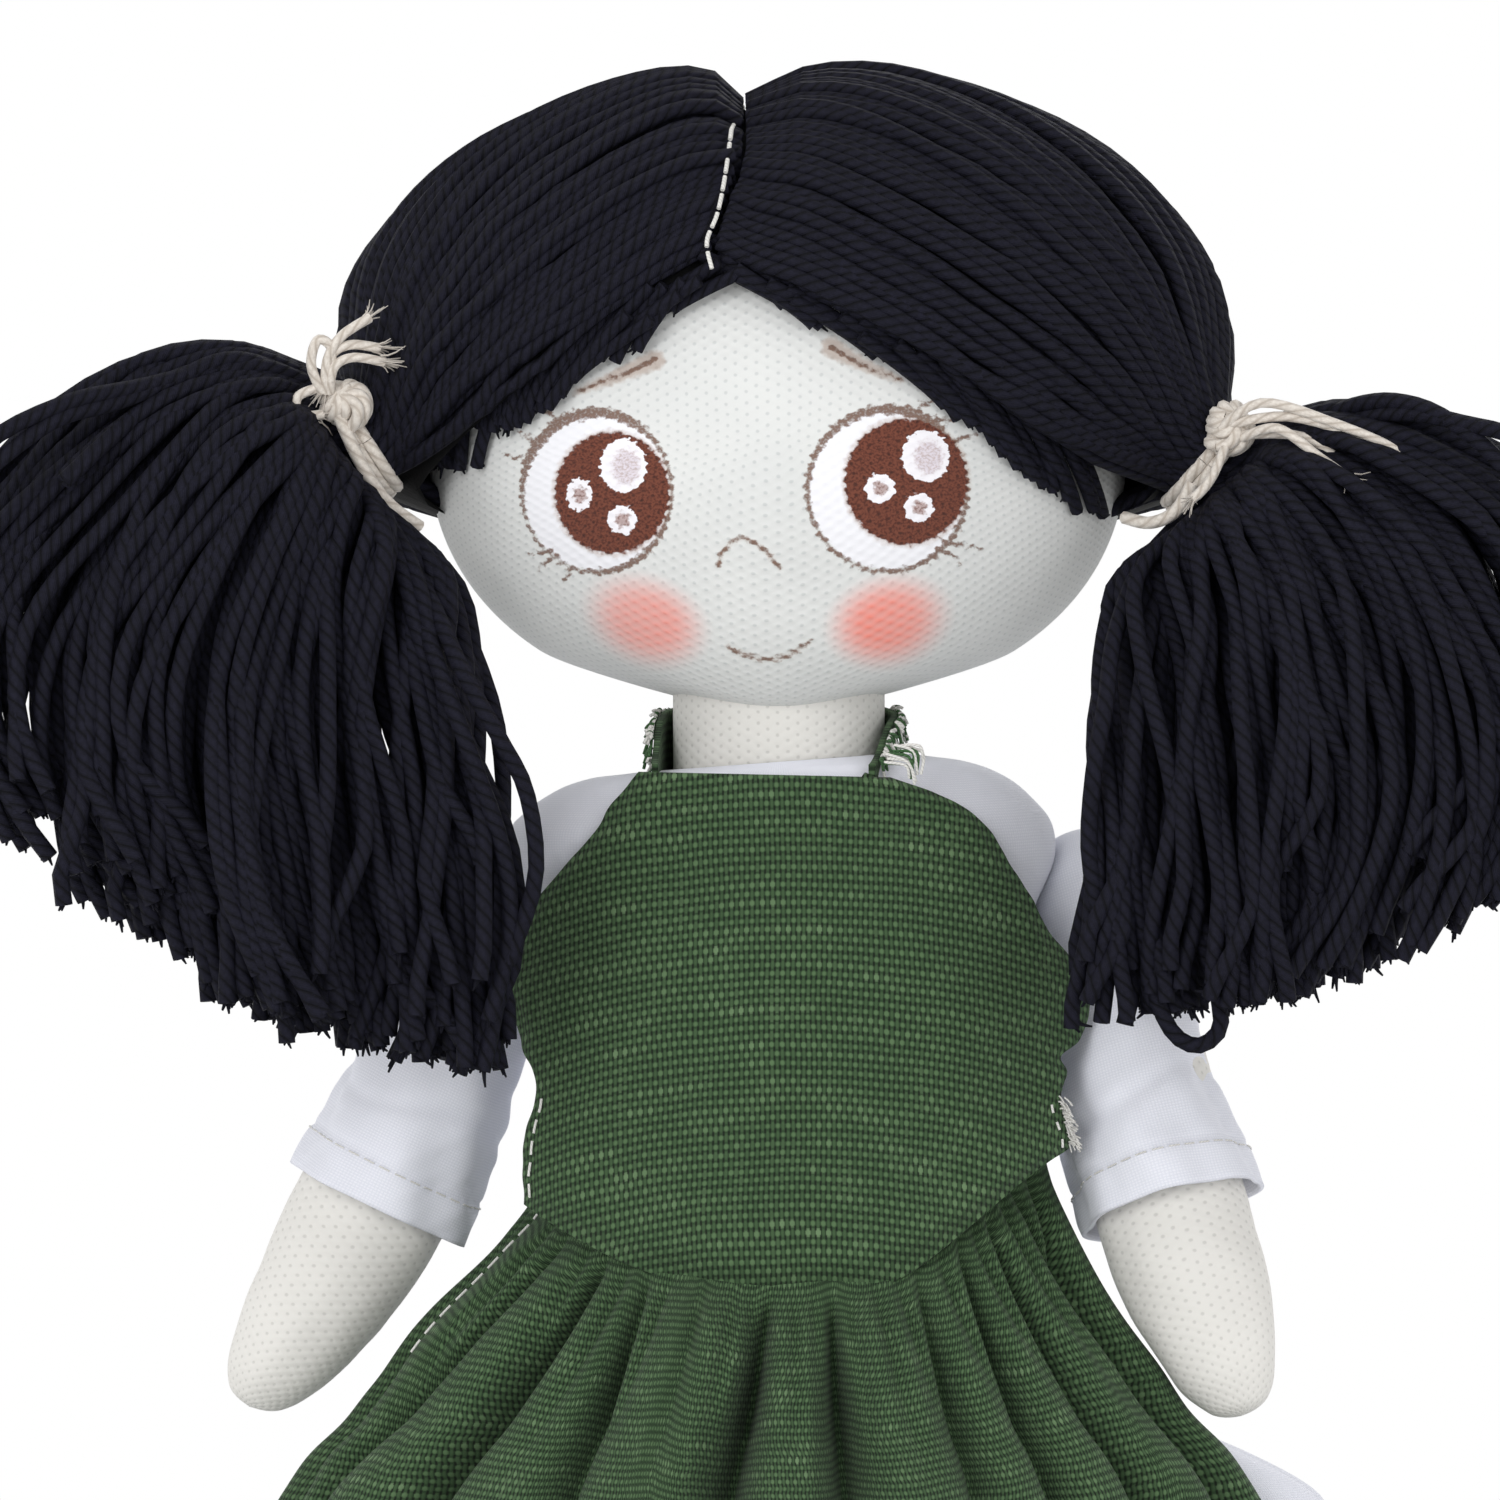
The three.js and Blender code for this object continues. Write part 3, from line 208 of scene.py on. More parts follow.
def grid_piece(name, points, material, ride, uvs=None, closed=True, caps=(False, False), values=None,
               thickness=0.0, offset=-1.0):
    """A sheet from rows of points, given its thickness and finished on its body.

    ride is its body, its slot and the CAD nodes that it stands for. A closed sheet runs round
    its rows, and its uvs have one more column than its points.
    """
    uvs = arc_uvs(points, closed) if uvs is None else uvs
    rows, columns = points.shape[:2]
    cells = columns if closed else columns - 1
    j, i = np.meshgrid(np.arange(rows - 1), np.arange(cells), indexing="ij")
    following = (i + 1) % columns
    quads = np.stack([j * columns + i, j * columns + following,
                      (j + 1) * columns + following, (j + 1) * columns + i], -1)
    faces = quads.reshape(-1, 4).tolist()
    corners = np.stack([uvs[j, i], uvs[j, i + 1], uvs[j + 1, i + 1], uvs[j + 1, i]], 2)
    corners = [corners.reshape(-1, 2)]
    flat = points.reshape(-1, 3)
    for row, wanted in zip((0, rows - 1), caps):
        if not wanted:
            continue
        centre = len(flat)
        flat = np.vstack([flat, points[row].mean(0)])
        for i0 in range(columns):
            pair = [row * columns + i0, row * columns + (i0 + 1) % columns]
            faces.append([*(pair[::-1] if row == 0 else pair), centre])
            corners.append(np.array([uvs[row, i0], uvs[row, i0 + 1], uvs[row, :-1].mean(0)]))
    if values:
        pad = len(flat) - rows * columns
        values = {k: np.concatenate([v.ravel(), np.repeat(v[-1, 0], pad)]) for k, v in values.items()}
    piece = mesh_object(name, flat, faces, MATERIALS[material], values, np.vstack(corners))
    if thickness:
        modifier = piece.modifiers.new("thickness", "SOLIDIFY")
        modifier.thickness = thickness * MM
        modifier.offset = offset
        modifier.use_rim = True
        applied(piece)
    return finish_piece(piece, *ride)


# Node trees

NUMBER, VECTOR = "NodeSocketFloat", "NodeSocketVector"


def arithmetic(operation):
    return lambda self, other: self.tree.math(operation, self, other)


class Value:
    """A node's number that takes part in sums."""

    def __init__(self, tree, socket):
        self.tree, self.socket = tree, socket

    __add__ = __radd__ = arithmetic("ADD")
    __mul__ = __rmul__ = arithmetic("MULTIPLY")
    __sub__, __truediv__, __pow__ = (arithmetic(name) for name in ("SUBTRACT", "DIVIDE", "POWER"))

    def __rsub__(self, other):
        return self.tree.math("SUBTRACT", other, self)


class Tree:
    """Short calls for a shader or geometry node tree."""

    def __init__(self, tree, prefix):
        self.tree, self.prefix = tree, prefix

    def add(self, kind, inputs=None, **settings):
        node = self.tree.nodes.new(kind if "Node" in kind else self.prefix + kind)
        for key, value in settings.items():
            setattr(node, key, value)
        for key, value in (inputs or {}).items():
            self.feed(node.inputs[key], value)
        return node

    def feed(self, socket, value):
        value = value.socket if isinstance(value, Value) else value
        if isinstance(value, bpy.types.NodeSocket):
            self.tree.links.new(value, socket)
        else:
            socket.default_value = value

    def values(self, node):
        """A node's outputs by name."""
        return {socket.name: Value(self, socket) for socket in node.outputs if socket.name}

    def math(self, operation, *values, clamp=False):
        inputs = dict(enumerate(values))
        node = self.add("ShaderNodeMath", inputs, operation=operation, use_clamp=clamp)
        return Value(self, node.outputs[0])

    def split(self, vector):
        return [Value(self, socket) for socket in self.add("SeparateXYZ", {0: vector}).outputs]

    def joined(self, x, y, z=0.0):
        return self.add("CombineXYZ", {0: x, 1: y, 2: z}).outputs[0]

    def step(self, value, low, high, start=0.0, end=1.0):
        inputs = dict(enumerate((value, low, high, start, end)))
        node = self.add("ShaderNodeMapRange", inputs, interpolation_type="SMOOTHSTEP")
        return Value(self, node.outputs[0])

    def noise(self, vector, scale, detail=2.0, rough=0.5):
        inputs = {"Vector": vector, "Scale": scale, "Detail": detail, "Roughness": rough}
        return Value(self, self.add("ShaderNodeTexNoise", inputs).outputs[0])

    def attribute(self, name, output="Fac"):
        return Value(self, self.add("Attribute", attribute_name=name).outputs[output])

    def placed_group(self, group, inputs):
        node = self.add("Group")
        node.node_tree = group
        for key, value in inputs.items():
            self.feed(node.inputs[key], value)
        return self.values(node)

    def layers(self, colour, *coats):
        """A colour under coats of other colours, each with its share."""
        for share, coat in coats:
            node = self.add("ShaderNodeMix", {0: share}, data_type="RGBA", blend_type="MIX")
            self.feed(node.inputs[6], colour)
            self.feed(node.inputs[7], coat)
            colour = node.outputs[2]
        return colour


def rgb(text):
    """A colour as written in sRGB hex, as linear values with alpha."""
    parts = [int(text[k:k + 2], 16) / 255 for k in (0, 2, 4)]
    return tuple(p / 12.92 if p <= 0.04045 else ((p + 0.055) / 1.055) ** 2.4 for p in parts) + (1.0,)


def shader_group(name, build, vector, **numbers):
    """A node group with one vector, some numbers, and the outputs that build gives by name."""
    group = bpy.data.node_groups.new(name, "ShaderNodeTree")
    group.interface.new_socket(vector, in_out="INPUT", socket_type=VECTOR)
    for label, value in numbers.items():
        socket = group.interface.new_socket(label, in_out="INPUT", socket_type=NUMBER)
        socket.default_value = value
    tree = Tree(group, "ShaderNode")
    results = build(tree, **tree.values(tree.add("NodeGroupInput")))
    for label in results:
        group.interface.new_socket(label, in_out="OUTPUT", socket_type=NUMBER)
    tree.add("NodeGroupOutput", results)
    return group


def knit_loops(tree, place, loop_width, loop_height):
    """Fine knit: rows of small raised loops, each row set half a loop aside."""
    x, y, _ = tree.split(place)
    shift = (tree.noise(place, 0.35) - 0.5) * 0.5
    across, along = (tree.math("COSINE", (reach + shift) / size * (2 * pi))
                     for reach, size in ((x, loop_width), (y, loop_height)))
    loops = across * along
    # The first wave squared narrows each hollow to a small round hole
    hole = across ** 2.0 * -0.9 + loops
    return {"Height": (loops * 0.5 + 0.5) ** 0.7, "Hollow": tree.step(hole, -1.15, -1.85),
            "Tone": tree.noise(place, 0.05)}


def plain_weave(tree, place, warp_pitch, weft_pitch, unevenness):
    """Plain weave: each thread passes over and under, with thick and thin places."""
    x, y, _ = tree.split(place)
    drift = (tree.noise(place, 0.05) - 0.5) * 1.2
    u, v = (x + drift) / warp_pitch, (y - drift) / weft_pitch
    warp_count, weft_count = tree.math("FLOOR", u), tree.math("FLOOR", v)
    over_warp, over_weft = tree.math("FRACT", u), tree.math("FRACT", v)
    warp, weft = (tree.math("SINE", share * pi) for share in (over_warp, over_weft))
    parity = tree.math("PINGPONG", warp_count + weft_count, 1.0)
    # Slubs: each thread has its own thick and thin places
    warp_slub = tree.noise(tree.joined(warp_count, v * 0.06), 1.7)
    weft_slub = tree.noise(tree.joined(u * 0.06, weft_count, 9.0), 1.7)
    shaped = warp * (weft * 0.5 + 0.5) * parity + weft * (warp * 0.5 + 0.5) * (1.0 - parity)
    slub = warp_slub * parity + weft_slub * (1.0 - parity)
    uneven = (slub - 0.5) * unevenness
    beside_warp, beside_weft = (
        tree.step(tree.math("ABSOLUTE", share - 0.5), low, high)
        for share, low, high in ((over_warp, 0.2, 0.42), (over_weft, 0.12, 0.36)))
    return {"Height": tree.math("ADD", shaped, uneven, clamp=True), "Gap": beside_warp * beside_weft,
            "Tone": uneven + 0.5, "Over": parity}


def yarn_twist(tree, strand, plies, twist_length):
    """Plied yarn: plies wound round the strand, from the strand's own round and length values."""
    x, y, along = tree.split(strand)
    turn = (tree.math("ARCTAN2", y, x) / (2 * pi) + along / twist_length) * plies
    ridge = tree.math("ABSOLUTE", tree.math("SINE", turn * pi))
    fine = tree.math("SINE", turn * (12 * pi))
    return {"Height": fine * 0.07 + ridge ** 0.7, "Fibre": tree.noise(strand, 2.0, 4.0)}


KNIT_LOOPS = shader_group("knit_loops", knit_loops, "place", loop_width=2.86, loop_height=1.63)
PLAIN_WEAVE = shader_group("plain_weave", plain_weave, "place", warp_pitch=0.71, weft_pitch=0.62,
                           unevenness=0.5)
YARN_TWIST = shader_group("yarn_twist", yarn_twist, "strand", plies=3.0, twist_length=5.0)


def soft_material(name, build, roughness, sheen, strength, relief, specular=0.3):
    """A material whose colour and height come from build, with its relief in millimetres."""
    material = bpy.data.materials.new(name)
    material.use_nodes = True
    tree = Tree(material.node_tree, "ShaderNode")
    colour, height = build(tree)
    bump = tree.add("Bump", {"Height": height, "Strength": strength, "Distance": relief * MM})
    shader = material.node_tree.nodes["Principled BSDF"]
    looks = {"Base Color": colour, "Roughness": roughness, "Sheen Weight": sheen, "Sheen Roughness": 0.6,
             "Specular IOR Level": specular, "Normal": bump.outputs[0]}
    for key, value in looks.items():
        tree.feed(shader.inputs[key], value)
    return material


def knit_material(name, colour, shade, printed=False):
    """Cream knit cloth. The face has its prints on it, from values on the mesh."""
    def build(tree):
        place = tree.add("UVMap", uv_map="cloth").outputs[0]
        knit = tree.placed_group(KNIT_LOOPS, {"place": place})
        # The shade colour comes in with the random tone, and in the knit's hollows as painted shade.
        cloth = tree.layers(rgb(colour), (knit["Tone"] * 0.5 + knit["Hollow"] * 0.5, rgb(shade)))
        if printed:
            cloth = tree.layers(cloth, *face_prints(tree, knit, place))
        return cloth, knit["Height"]
    return soft_material(name, build, 0.85, 0.15, 0.45, 0.22)


def face_prints(tree, knit, place):
    """Ink on the face: it takes on the raised loops first and leaves the hollows paler."""
    loops = knit["Height"]
    ragged = (tree.noise(place, 1.6, 3.0) - 0.5) * 1.1 + (loops - 0.55) * 0.5
    speckle = tree.noise(place, 2.4)

    def inside(name, soft, rough=1.0):
        return tree.step(ragged * rough + tree.attribute(name), soft, -soft)

    def speckled(low, high, colour, spots):
        return tree.layers(rgb(colour), (tree.step(speckle, low, high), rgb(spots)))

    # The iris is darker in the knit's hollows: painted shade.
    brown = tree.layers(speckled(0.3, 0.62, "4F2419", "75402F"), (knit["Hollow"] * 0.7, rgb("391A12")))
    return [
        (tree.attribute("blush") * (loops * -0.22 + 1.0), rgb("FC8F80")),
        (inside("eye_white", 0.25) * 0.95, rgb("F7F7FC")),
        (inside("line_soft", 0.45, 0.7) * 0.55, rgb("A98B77")),
        (inside("line", 0.22) * tree.step(speckle, 0.2, 0.55, 0.55, 0.95),
         tree.layers(rgb("53372B"), (speckle, rgb("8F7060")))),
        (inside("iris", 0.2, 0.8), brown),
        (inside("highlight", 0.08, 0.9), rgb("F8F6FB")),
        (inside("glow_core", 0.5, 1.2) * 0.75, speckled(0.35, 0.6, "B39C9A", "DCD2DC")),
        (inside("spark_core", 0.25) * 0.9, speckled(0.35, 0.55, "7A5144", "B79E9B")),
    ]


def woven_material(name, colours, pitches, uneven, roughness, relief, sheen, gap_shade_colour=None, over=0.2):
    """Plain-woven cloth in three tones, darker in the gaps between its threads as painted shade.
    The middle tone on the threads' raised tops is painted light, and the dark tone where they dip and on the
    crossings where the warp lies on top is painted shade; the light tone follows the threads' slubs.
    """
    def build(tree):
        place = tree.add("UVMap", uv_map="cloth").outputs[0]
        weave = tree.placed_group(PLAIN_WEAVE, {"place": place, "warp_pitch": pitches[0],
                                                "weft_pitch": pitches[1], "unevenness": uneven})
        low, mid, high = (rgb(colour) for colour in colours)
        # Painted light and shade: the raised thread tops take the middle tone, and the warp-over crossings and
        # the gaps between threads take dark painted shade.
        return tree.layers(
            low, (tree.step(weave["Height"], 0.25, 0.95), mid), (tree.step(weave["Tone"], 0.5, 0.8), high),
            (weave["Over"] * over, low), (tree.noise(place, 0.02, 3.0) * 0.3, low),
            (weave["Gap"] * 0.92, rgb(gap_shade_colour) if gap_shade_colour else low)), weave["Height"]
    return soft_material(name, build, roughness, sheen, 0.6, relief)


def yarn_material(name, dark, light, plies, twist, roughness, sheen, relief, specular=0.3):
    def build(tree):
        yarn = tree.placed_group(YARN_TWIST, {"strand": tree.attribute("yarn", "Vector"), "plies": plies,
                                              "twist_length": twist})
        # Ply crowns take the light colour as a painted highlight, and the grooves keep the dark one as painted
        # shade; the fibre noise mixes in random tone.
        crown_highlight_and_fibre = tree.step(yarn["Height"], 0.1, 1.0) * tree.step(yarn["Fibre"], 0.25, 0.75, 0.4, 1.0)
        return tree.layers(rgb(dark), (crown_highlight_and_fibre, rgb(light))), yarn["Height"]
    return soft_material(name, build, roughness, sheen, 0.7, relief, specular)


MATERIALS = {
    "face": knit_material("printed_knit", "EAEBE9", "C6C9C9", printed=True),
    "knit": knit_material("cream_knit", "EFEDE8", "C8C6C1"),
    # For the linen, 0C1509 is the painted shade in the gaps between threads, and 0.62 the share of painted
    # shade on warp-over crossings.
    "linen": woven_material("green_linen", ("2A4127", "58744F", "7F9A73"), (0.74, 1.27), 0.6, 0.9, 0.18, 0.05,
                            "0C1509", 0.62),
    "cotton": woven_material("white_cotton", ("E5E7F1", "F3F4FC", "FAFBFF"), (0.42, 0.42), 0.25, 0.75, 0.05,
                             0.1),
    "hair": yarn_material("navy_black_yarn", "05050C", "191927", 3.0, 6.5, 0.8, 0.0, 0.4, 0.18),
    "hair_cloth": woven_material("navy_black_cloth", ("020203", "030305", "050508"), (0.6, 0.6), 0.2, 0.9,
                                 0.05, 0.0),
    "thread": yarn_material("white_thread", "CFCDC9", "F2F1EC", 2.0, 1.2, 0.7, 0.1, 0.06),
    "green_thread": yarn_material("green_thread", "1F3D1F", "4A7345", 2.0, 1.2, 0.8, 0.1, 0.06),
    "tie": yarn_material("cream_tie_yarn", "BDB2A6", "EAE3DA", 3.0, 8.0, 0.9, 0.35, 0.12),
}


# Yarn and stitches, made by geometry nodes from lines of points

def strand_group():
    """Round strands along lines, with their round and length values kept for the twist."""
    group = bpy.data.node_groups.new("yarn_strands", "GeometryNodeTree")
    for label, kind in (("Geometry", "NodeSocketGeometry"), ("Radius", NUMBER), ("Sides", "NodeSocketInt"),
                        ("Material", "NodeSocketMaterial")):
        group.interface.new_socket(label, in_out="INPUT", socket_type=kind)
    group.interface.new_socket("Geometry", in_out="OUTPUT", socket_type="NodeSocketGeometry")
    tree = Tree(group, "GeometryNode")
    given = tree.add("NodeGroupInput").outputs

    def first(kind, inputs=None, **settings):
        return tree.add(kind, inputs, **settings).outputs[0]

    def stored(geometry, name, value, kind):
        return first("StoreNamedAttribute", {"Geometry": geometry, "Name": name, "Value": value},
                     data_type=kind, domain="POINT")

    def named(name, kind):
        return first("InputNamedAttribute", {"Name": name}, data_type=kind)

    curve = first("MeshToCurve", {"Mesh": given["Geometry"]})
    curve = first("SetCurveRadius", {"Curve": curve, "Radius": named("taper", "FLOAT")})
    curve = stored(curve, "along", tree.add("SplineParameter").outputs["Length"], "FLOAT")
    circle = first("CurvePrimitiveCircle", {"Resolution": given["Sides"], "Radius": given["Radius"]},
                   mode="RADIUS")
    way = first("ShaderNodeVectorMath", {0: first("InputPosition")}, operation="NORMALIZE")
    circle = stored(circle, "around", way, "FLOAT_VECTOR")
    tube = tree.add("CurveToMesh", {"Curve": curve, "Profile Curve": circle, "Fill Caps": True})
    if "Scale" in tube.inputs:
        tree.feed(tube.inputs["Scale"], first("InputRadius"))
    x, y, _ = tree.add("ShaderNodeSeparateXYZ", {0: named("around", "FLOAT_VECTOR")}).outputs
    in_mm = Value(tree, named("along", "FLOAT")) / MM
    strand = first("ShaderNodeCombineXYZ", {0: x, 1: y, 2: in_mm})
    shape = stored(tube.outputs[0], "yarn", strand, "FLOAT_VECTOR")
    shape = first("SetShadeSmooth", {"Geometry": shape, "Shade Smooth": True})
    shape = first("RealizeInstances", {"Geometry": shape})
    shape = first("SetMaterial", {"Geometry": shape, "Material": given["Material"]})
    tree.add("NodeGroupOutput", {0: shape})
    return group


YARN_STRANDS = strand_group()


def strands(name, paths, radius, material, ride, sides=7, tapers=None):
    """One mesh of round strands, finished on its body. Each path is points in millimetres."""
    points = np.vstack(paths)
    edges, start = [], 0
    for path in paths:
        edges += [(k, k + 1) for k in range(start, start + len(path) - 1)]
        start += len(path)
    mesh = bpy.data.meshes.new(name)
    mesh.from_pydata((points * MM).tolist(), edges, [])
    taper = np.ones(len(points)) if tapers is None else np.concatenate(tapers)
    mesh.attributes.new("taper", "FLOAT", "POINT").data.foreach_set("value", taper.astype(np.float32))
    piece = new_object(name, mesh)
    modifier = piece.modifiers.new("strands", "NODES")
    modifier.node_group = YARN_STRANDS
    inputs = {"Radius": radius * MM, "Sides": sides, "Material": MATERIALS[material]}
    for item in YARN_STRANDS.interface.items_tree:
        if item.item_type == "SOCKET" and item.in_out == "INPUT" and item.name in inputs:
            modifier[item.identifier] = inputs[item.name]
    return finish_piece(applied(piece), *ride)


def stitch_paths(line, length, gap):
    """Short hand stitches along a dense line of points."""
    along = np.concatenate([[0], np.linalg.norm(np.diff(line, axis=0), axis=1).cumsum()])
    paths = []
    start = 0.0
    while start + length < along[-1]:
        places = linspace(start, start + length, 5)
        paths.append(np.stack([np.interp(places, along, line[:, k]) for k in range(3)], 1))
        start += length + gap
    return paths


# Length, gap and radius of each row of running stitches
STITCHES = {"sleeve": (1.7, 0.9, 0.13), "shoe": (1.8, 1.3, 0.15), "apron": (2.2, 1.1, 0.2),
            "dress": (2.0, 1.2, 0.15)}


def running_stitches(name, line, kind, body):
    length, gap, radius = STITCHES[kind]
    strands(name, stitch_paths(line, length, gap), radius, "thread", (body, "thread"), sides=5)


def closed_line(line, out):
    """A ring of points, closed and moved outwards from its middle."""
    line = np.vstack([line, line[:1]])
    return line + unit(line - line.mean(0)) * out


def frays(paths, draw, length, per_end=3, spread=0.9):
    """Loose fibres at the cut end of each strand, and their tapers."""
    t = linspace(0, 1, 4)[:, None]
    result = []
    for path in paths:
        way = unit(path[-1] - path[-3])
        for _ in range(per_end):
            side = draw.normal(size=3) * spread
            reach = length * draw.uniform(0.5, 1.2)
            result.append(path[-1] + side * 0.35 - way * 0.8 + (way * reach) * t + side * t**2 * 0.9)
    return result, [np.array([1.0, 0.9, 0.7, 0.4])] * len(result)


# Head

# Ovals are middle (x, z) and half sizes. line is the outline's half width round the eye
EYES = [
    {"outline": (-26.9, 288.9, 10.7, 11.4), "iris": (-24.7, 288.8, 8.2, 8.7),
     "glow": (-23.1, 292.7, 3.3, 3.9), "sparks": [(-29.4, 288.6, 1.9, 2.3), (-23.3, 285.0, 2.1, 2.1)],
     "line": [0.22, 0.3, 0.55, 0.7, 0.6, 0.28, 0.16, 0.2, 0.45, 0.35, 0.22]},
    {"outline": (14.6, 289.2, 11.4, 11.6), "iris": (17.3, 290.4, 8.8, 9.0),
     "glow": (20.1, 294.1, 3.4, 3.7), "sparks": [(13.6, 289.5, 2.2, 2.1), (19.1, 286.7, 2.1, 2.1)],
     "line": [0.3, 0.35, 0.62, 0.5, 0.4, 0.3, 0.26, 0.26, 0.3, 0.35, 0.3]},
]
LASHES = [
    [(-36.6, 293.4), (-38.4, 293.9), (-40.3, 294.3)], [(-36.0, 296.4), (-38.9, 298.2)],
    [(-33.3, 300.1), (-35.2, 301.0)], [(-32.6, 279.9), (-35.4, 277.9)], [(-33.4, 280.6), (-36.6, 280.0)],
    [(-30.3, 278.2), (-31.8, 276.0)], [(19.3, 301.4), (21.2, 302.1), (22.9, 303.2)],
    [(21.6, 299.6), (23.6, 299.0), (25.8, 300.8)], [(24.5, 296.5), (27.5, 297.1)],
    [(22.6, 281.9), (25.4, 281.4), (28.1, 280.7)], [(21.8, 280.9), (23.6, 280.0), (25.3, 278.6)],
]
NOSE = [(-9.6, 278.2), (-8.7, 280.8), (-6.0, 282.3), (-3.2, 280.9), (-0.7, 278.0)]
MOUTH = [(-8.1, 266.8), (-5.4, 265.6), (-2.4, 265.0), (0.6, 265.7), (3.5, 267.5)]
# Each brow's points and its half width at both ends, as shares of BROW_HALF
BROWS = [([(-30.0, 303.2), (-24.5, 305.3), (-18.6, 307.8)], (0.4, 1.5)),
         ([(6.6, 309.6), (11.0, 307.2), (16.6, 304.9)], (1.5, 0.4))]
# Middle, half sizes, tilt in degrees, the side that is fuller, strength
BLUSHES = [((-20.0, 270.6), (9.4, 6.6), -22.0, 1, 0.93), ((14.9, 270.5), (9.2, 6.8), 15.0, -1, 1.12)]
LASH_HALF, FEATURE_HALF, BROW_HALF = 0.26, 0.24, 0.95
PRINTS = ("eye_white", "iris", "highlight", "glow_core", "spark_core", "line", "line_soft")
FAR = 50.0
JAW, CHIN_DROP, CHIN_HALF, CHIN_TAPER, SEAM_PINCH = 2.24, 3.2, 19.0, 0.19, 0.35


def oval_distance(x, z, oval):
    """Signed distance to an oval, below 0 inside it."""
    cx, cz, wide, tall = oval
    a = np.hypot((x - cx) / wide, (z - cz) / tall)
    b = np.hypot((x - cx) / wide**2, (z - cz) / tall**2)
    return a * (a - 1) / np.maximum(b, 1e-6)


def line_distance(x, z, points, halves):
    """Signed distance to a drawn line whose half width changes along it."""
    halves = np.broadcast_to(halves, len(points))
    best = np.full(x.shape, 1e3)
    for a, b, ha, hb in zip(points[:-1], points[1:], halves[:-1], halves[1:]):
        way = b - a
        share = np.clip(((x - a[0]) * way[0] + (z - a[1]) * way[1]) / (way @ way), 0, 1)
        reach = np.hypot(x - a[0] - share * way[0], z - a[1] - share * way[1])
        best = np.minimum(best, reach - mix(ha, hb, share))
    return best


def face_values(points):
    """Distances to each print on the face, laid out as the camera sees them."""
    near = CAMERA_AWAY / (CAMERA_AWAY + points[..., 1] - PHOTO_PLANE_Y)
    x = CAMERA_X + (points[..., 0] - CAMERA_X) * near
    z = CAMERA_Z + (points[..., 2] - CAMERA_Z) * near
    nearest = dict.fromkeys(PRINTS, FAR)

    def take(distance, *names):
        for name in names:
            nearest[name] = np.minimum(nearest[name], distance)

    for eye in EYES:
        cx, cz, wide, tall = eye["outline"]
        turn = linspace(0, 2 * pi, 61)
        rim = np.stack([cx + wide * cos(turn), cz + tall * sin(turn)], 1)
        halves = smooth_line(np.array(eye["line"])[:, None], turn / (2 * pi))[:, 0]
        iris = oval_distance(x, z, eye["iris"])
        take(oval_distance(x, z, eye["outline"]) + 0.2, "eye_white")
        take(iris, "iris")
        take(line_distance(x, z, rim, halves * 1.25), "line")
        take(np.abs(iris) - 0.35, "line_soft")
        take(oval_distance(x, z, eye["glow"]), "highlight")
        gx, gz, gw, gt = eye["glow"]
        take(oval_distance(x, z, (gx + 0.4, gz - 0.2, gw * 0.6, gt * 0.66)), "glow_core")
        for sx, sz, sw, st in eye["sparks"]:
            take(oval_distance(x, z, (sx, sz, sw, st)), "highlight")
            take(oval_distance(x, z, (sx + 0.1, sz, sw * 0.5, st * 0.5)), "spark_core")
    for lash in LASHES:
        halves = LASH_HALF * linspace(1.5, 0.5, 6)
        take(line_distance(x, z, smooth_line(lash, linspace(0, 1, 6)), halves), "line")
    for drawn in (NOSE, MOUTH):
        take(line_distance(x, z, smooth_line(drawn, linspace(0, 1, 17)), FEATURE_HALF), "line", "line_soft")
    for brow, ends in BROWS:
        path, halves = smooth_line(brow, linspace(0, 1, 9)), BROW_HALF * linspace(*ends, 9)
        take(line_distance(x, z, path, halves), "line_soft")
        take(line_distance(x, z, path, halves * 0.3), "line")
    blush = np.zeros(x.shape)
    for (cx, cz), (wide, tall), tilt, inner, full in BLUSHES:
        turn = radians(tilt)
        across = (x - cx) * math.cos(turn) + (z - cz) * math.sin(turn)
        up = (z - cz) * math.cos(turn) - (x - cx) * math.sin(turn)
        strength = 0.85 + 0.15 * inner * np.clip(across / wide, -1, 1)
        reach = np.hypot(across / wide, up / tall)
        blush = np.maximum(blush, smoothstep(-reach, -1.12, -0.35) * strength * full)
    front = points[..., 1] < 0
    result = {key: np.where(front, np.clip(value, -20, FAR), FAR) for key, value in nearest.items()}
    return {**result, "blush": np.where(front, blush, 0.0)}


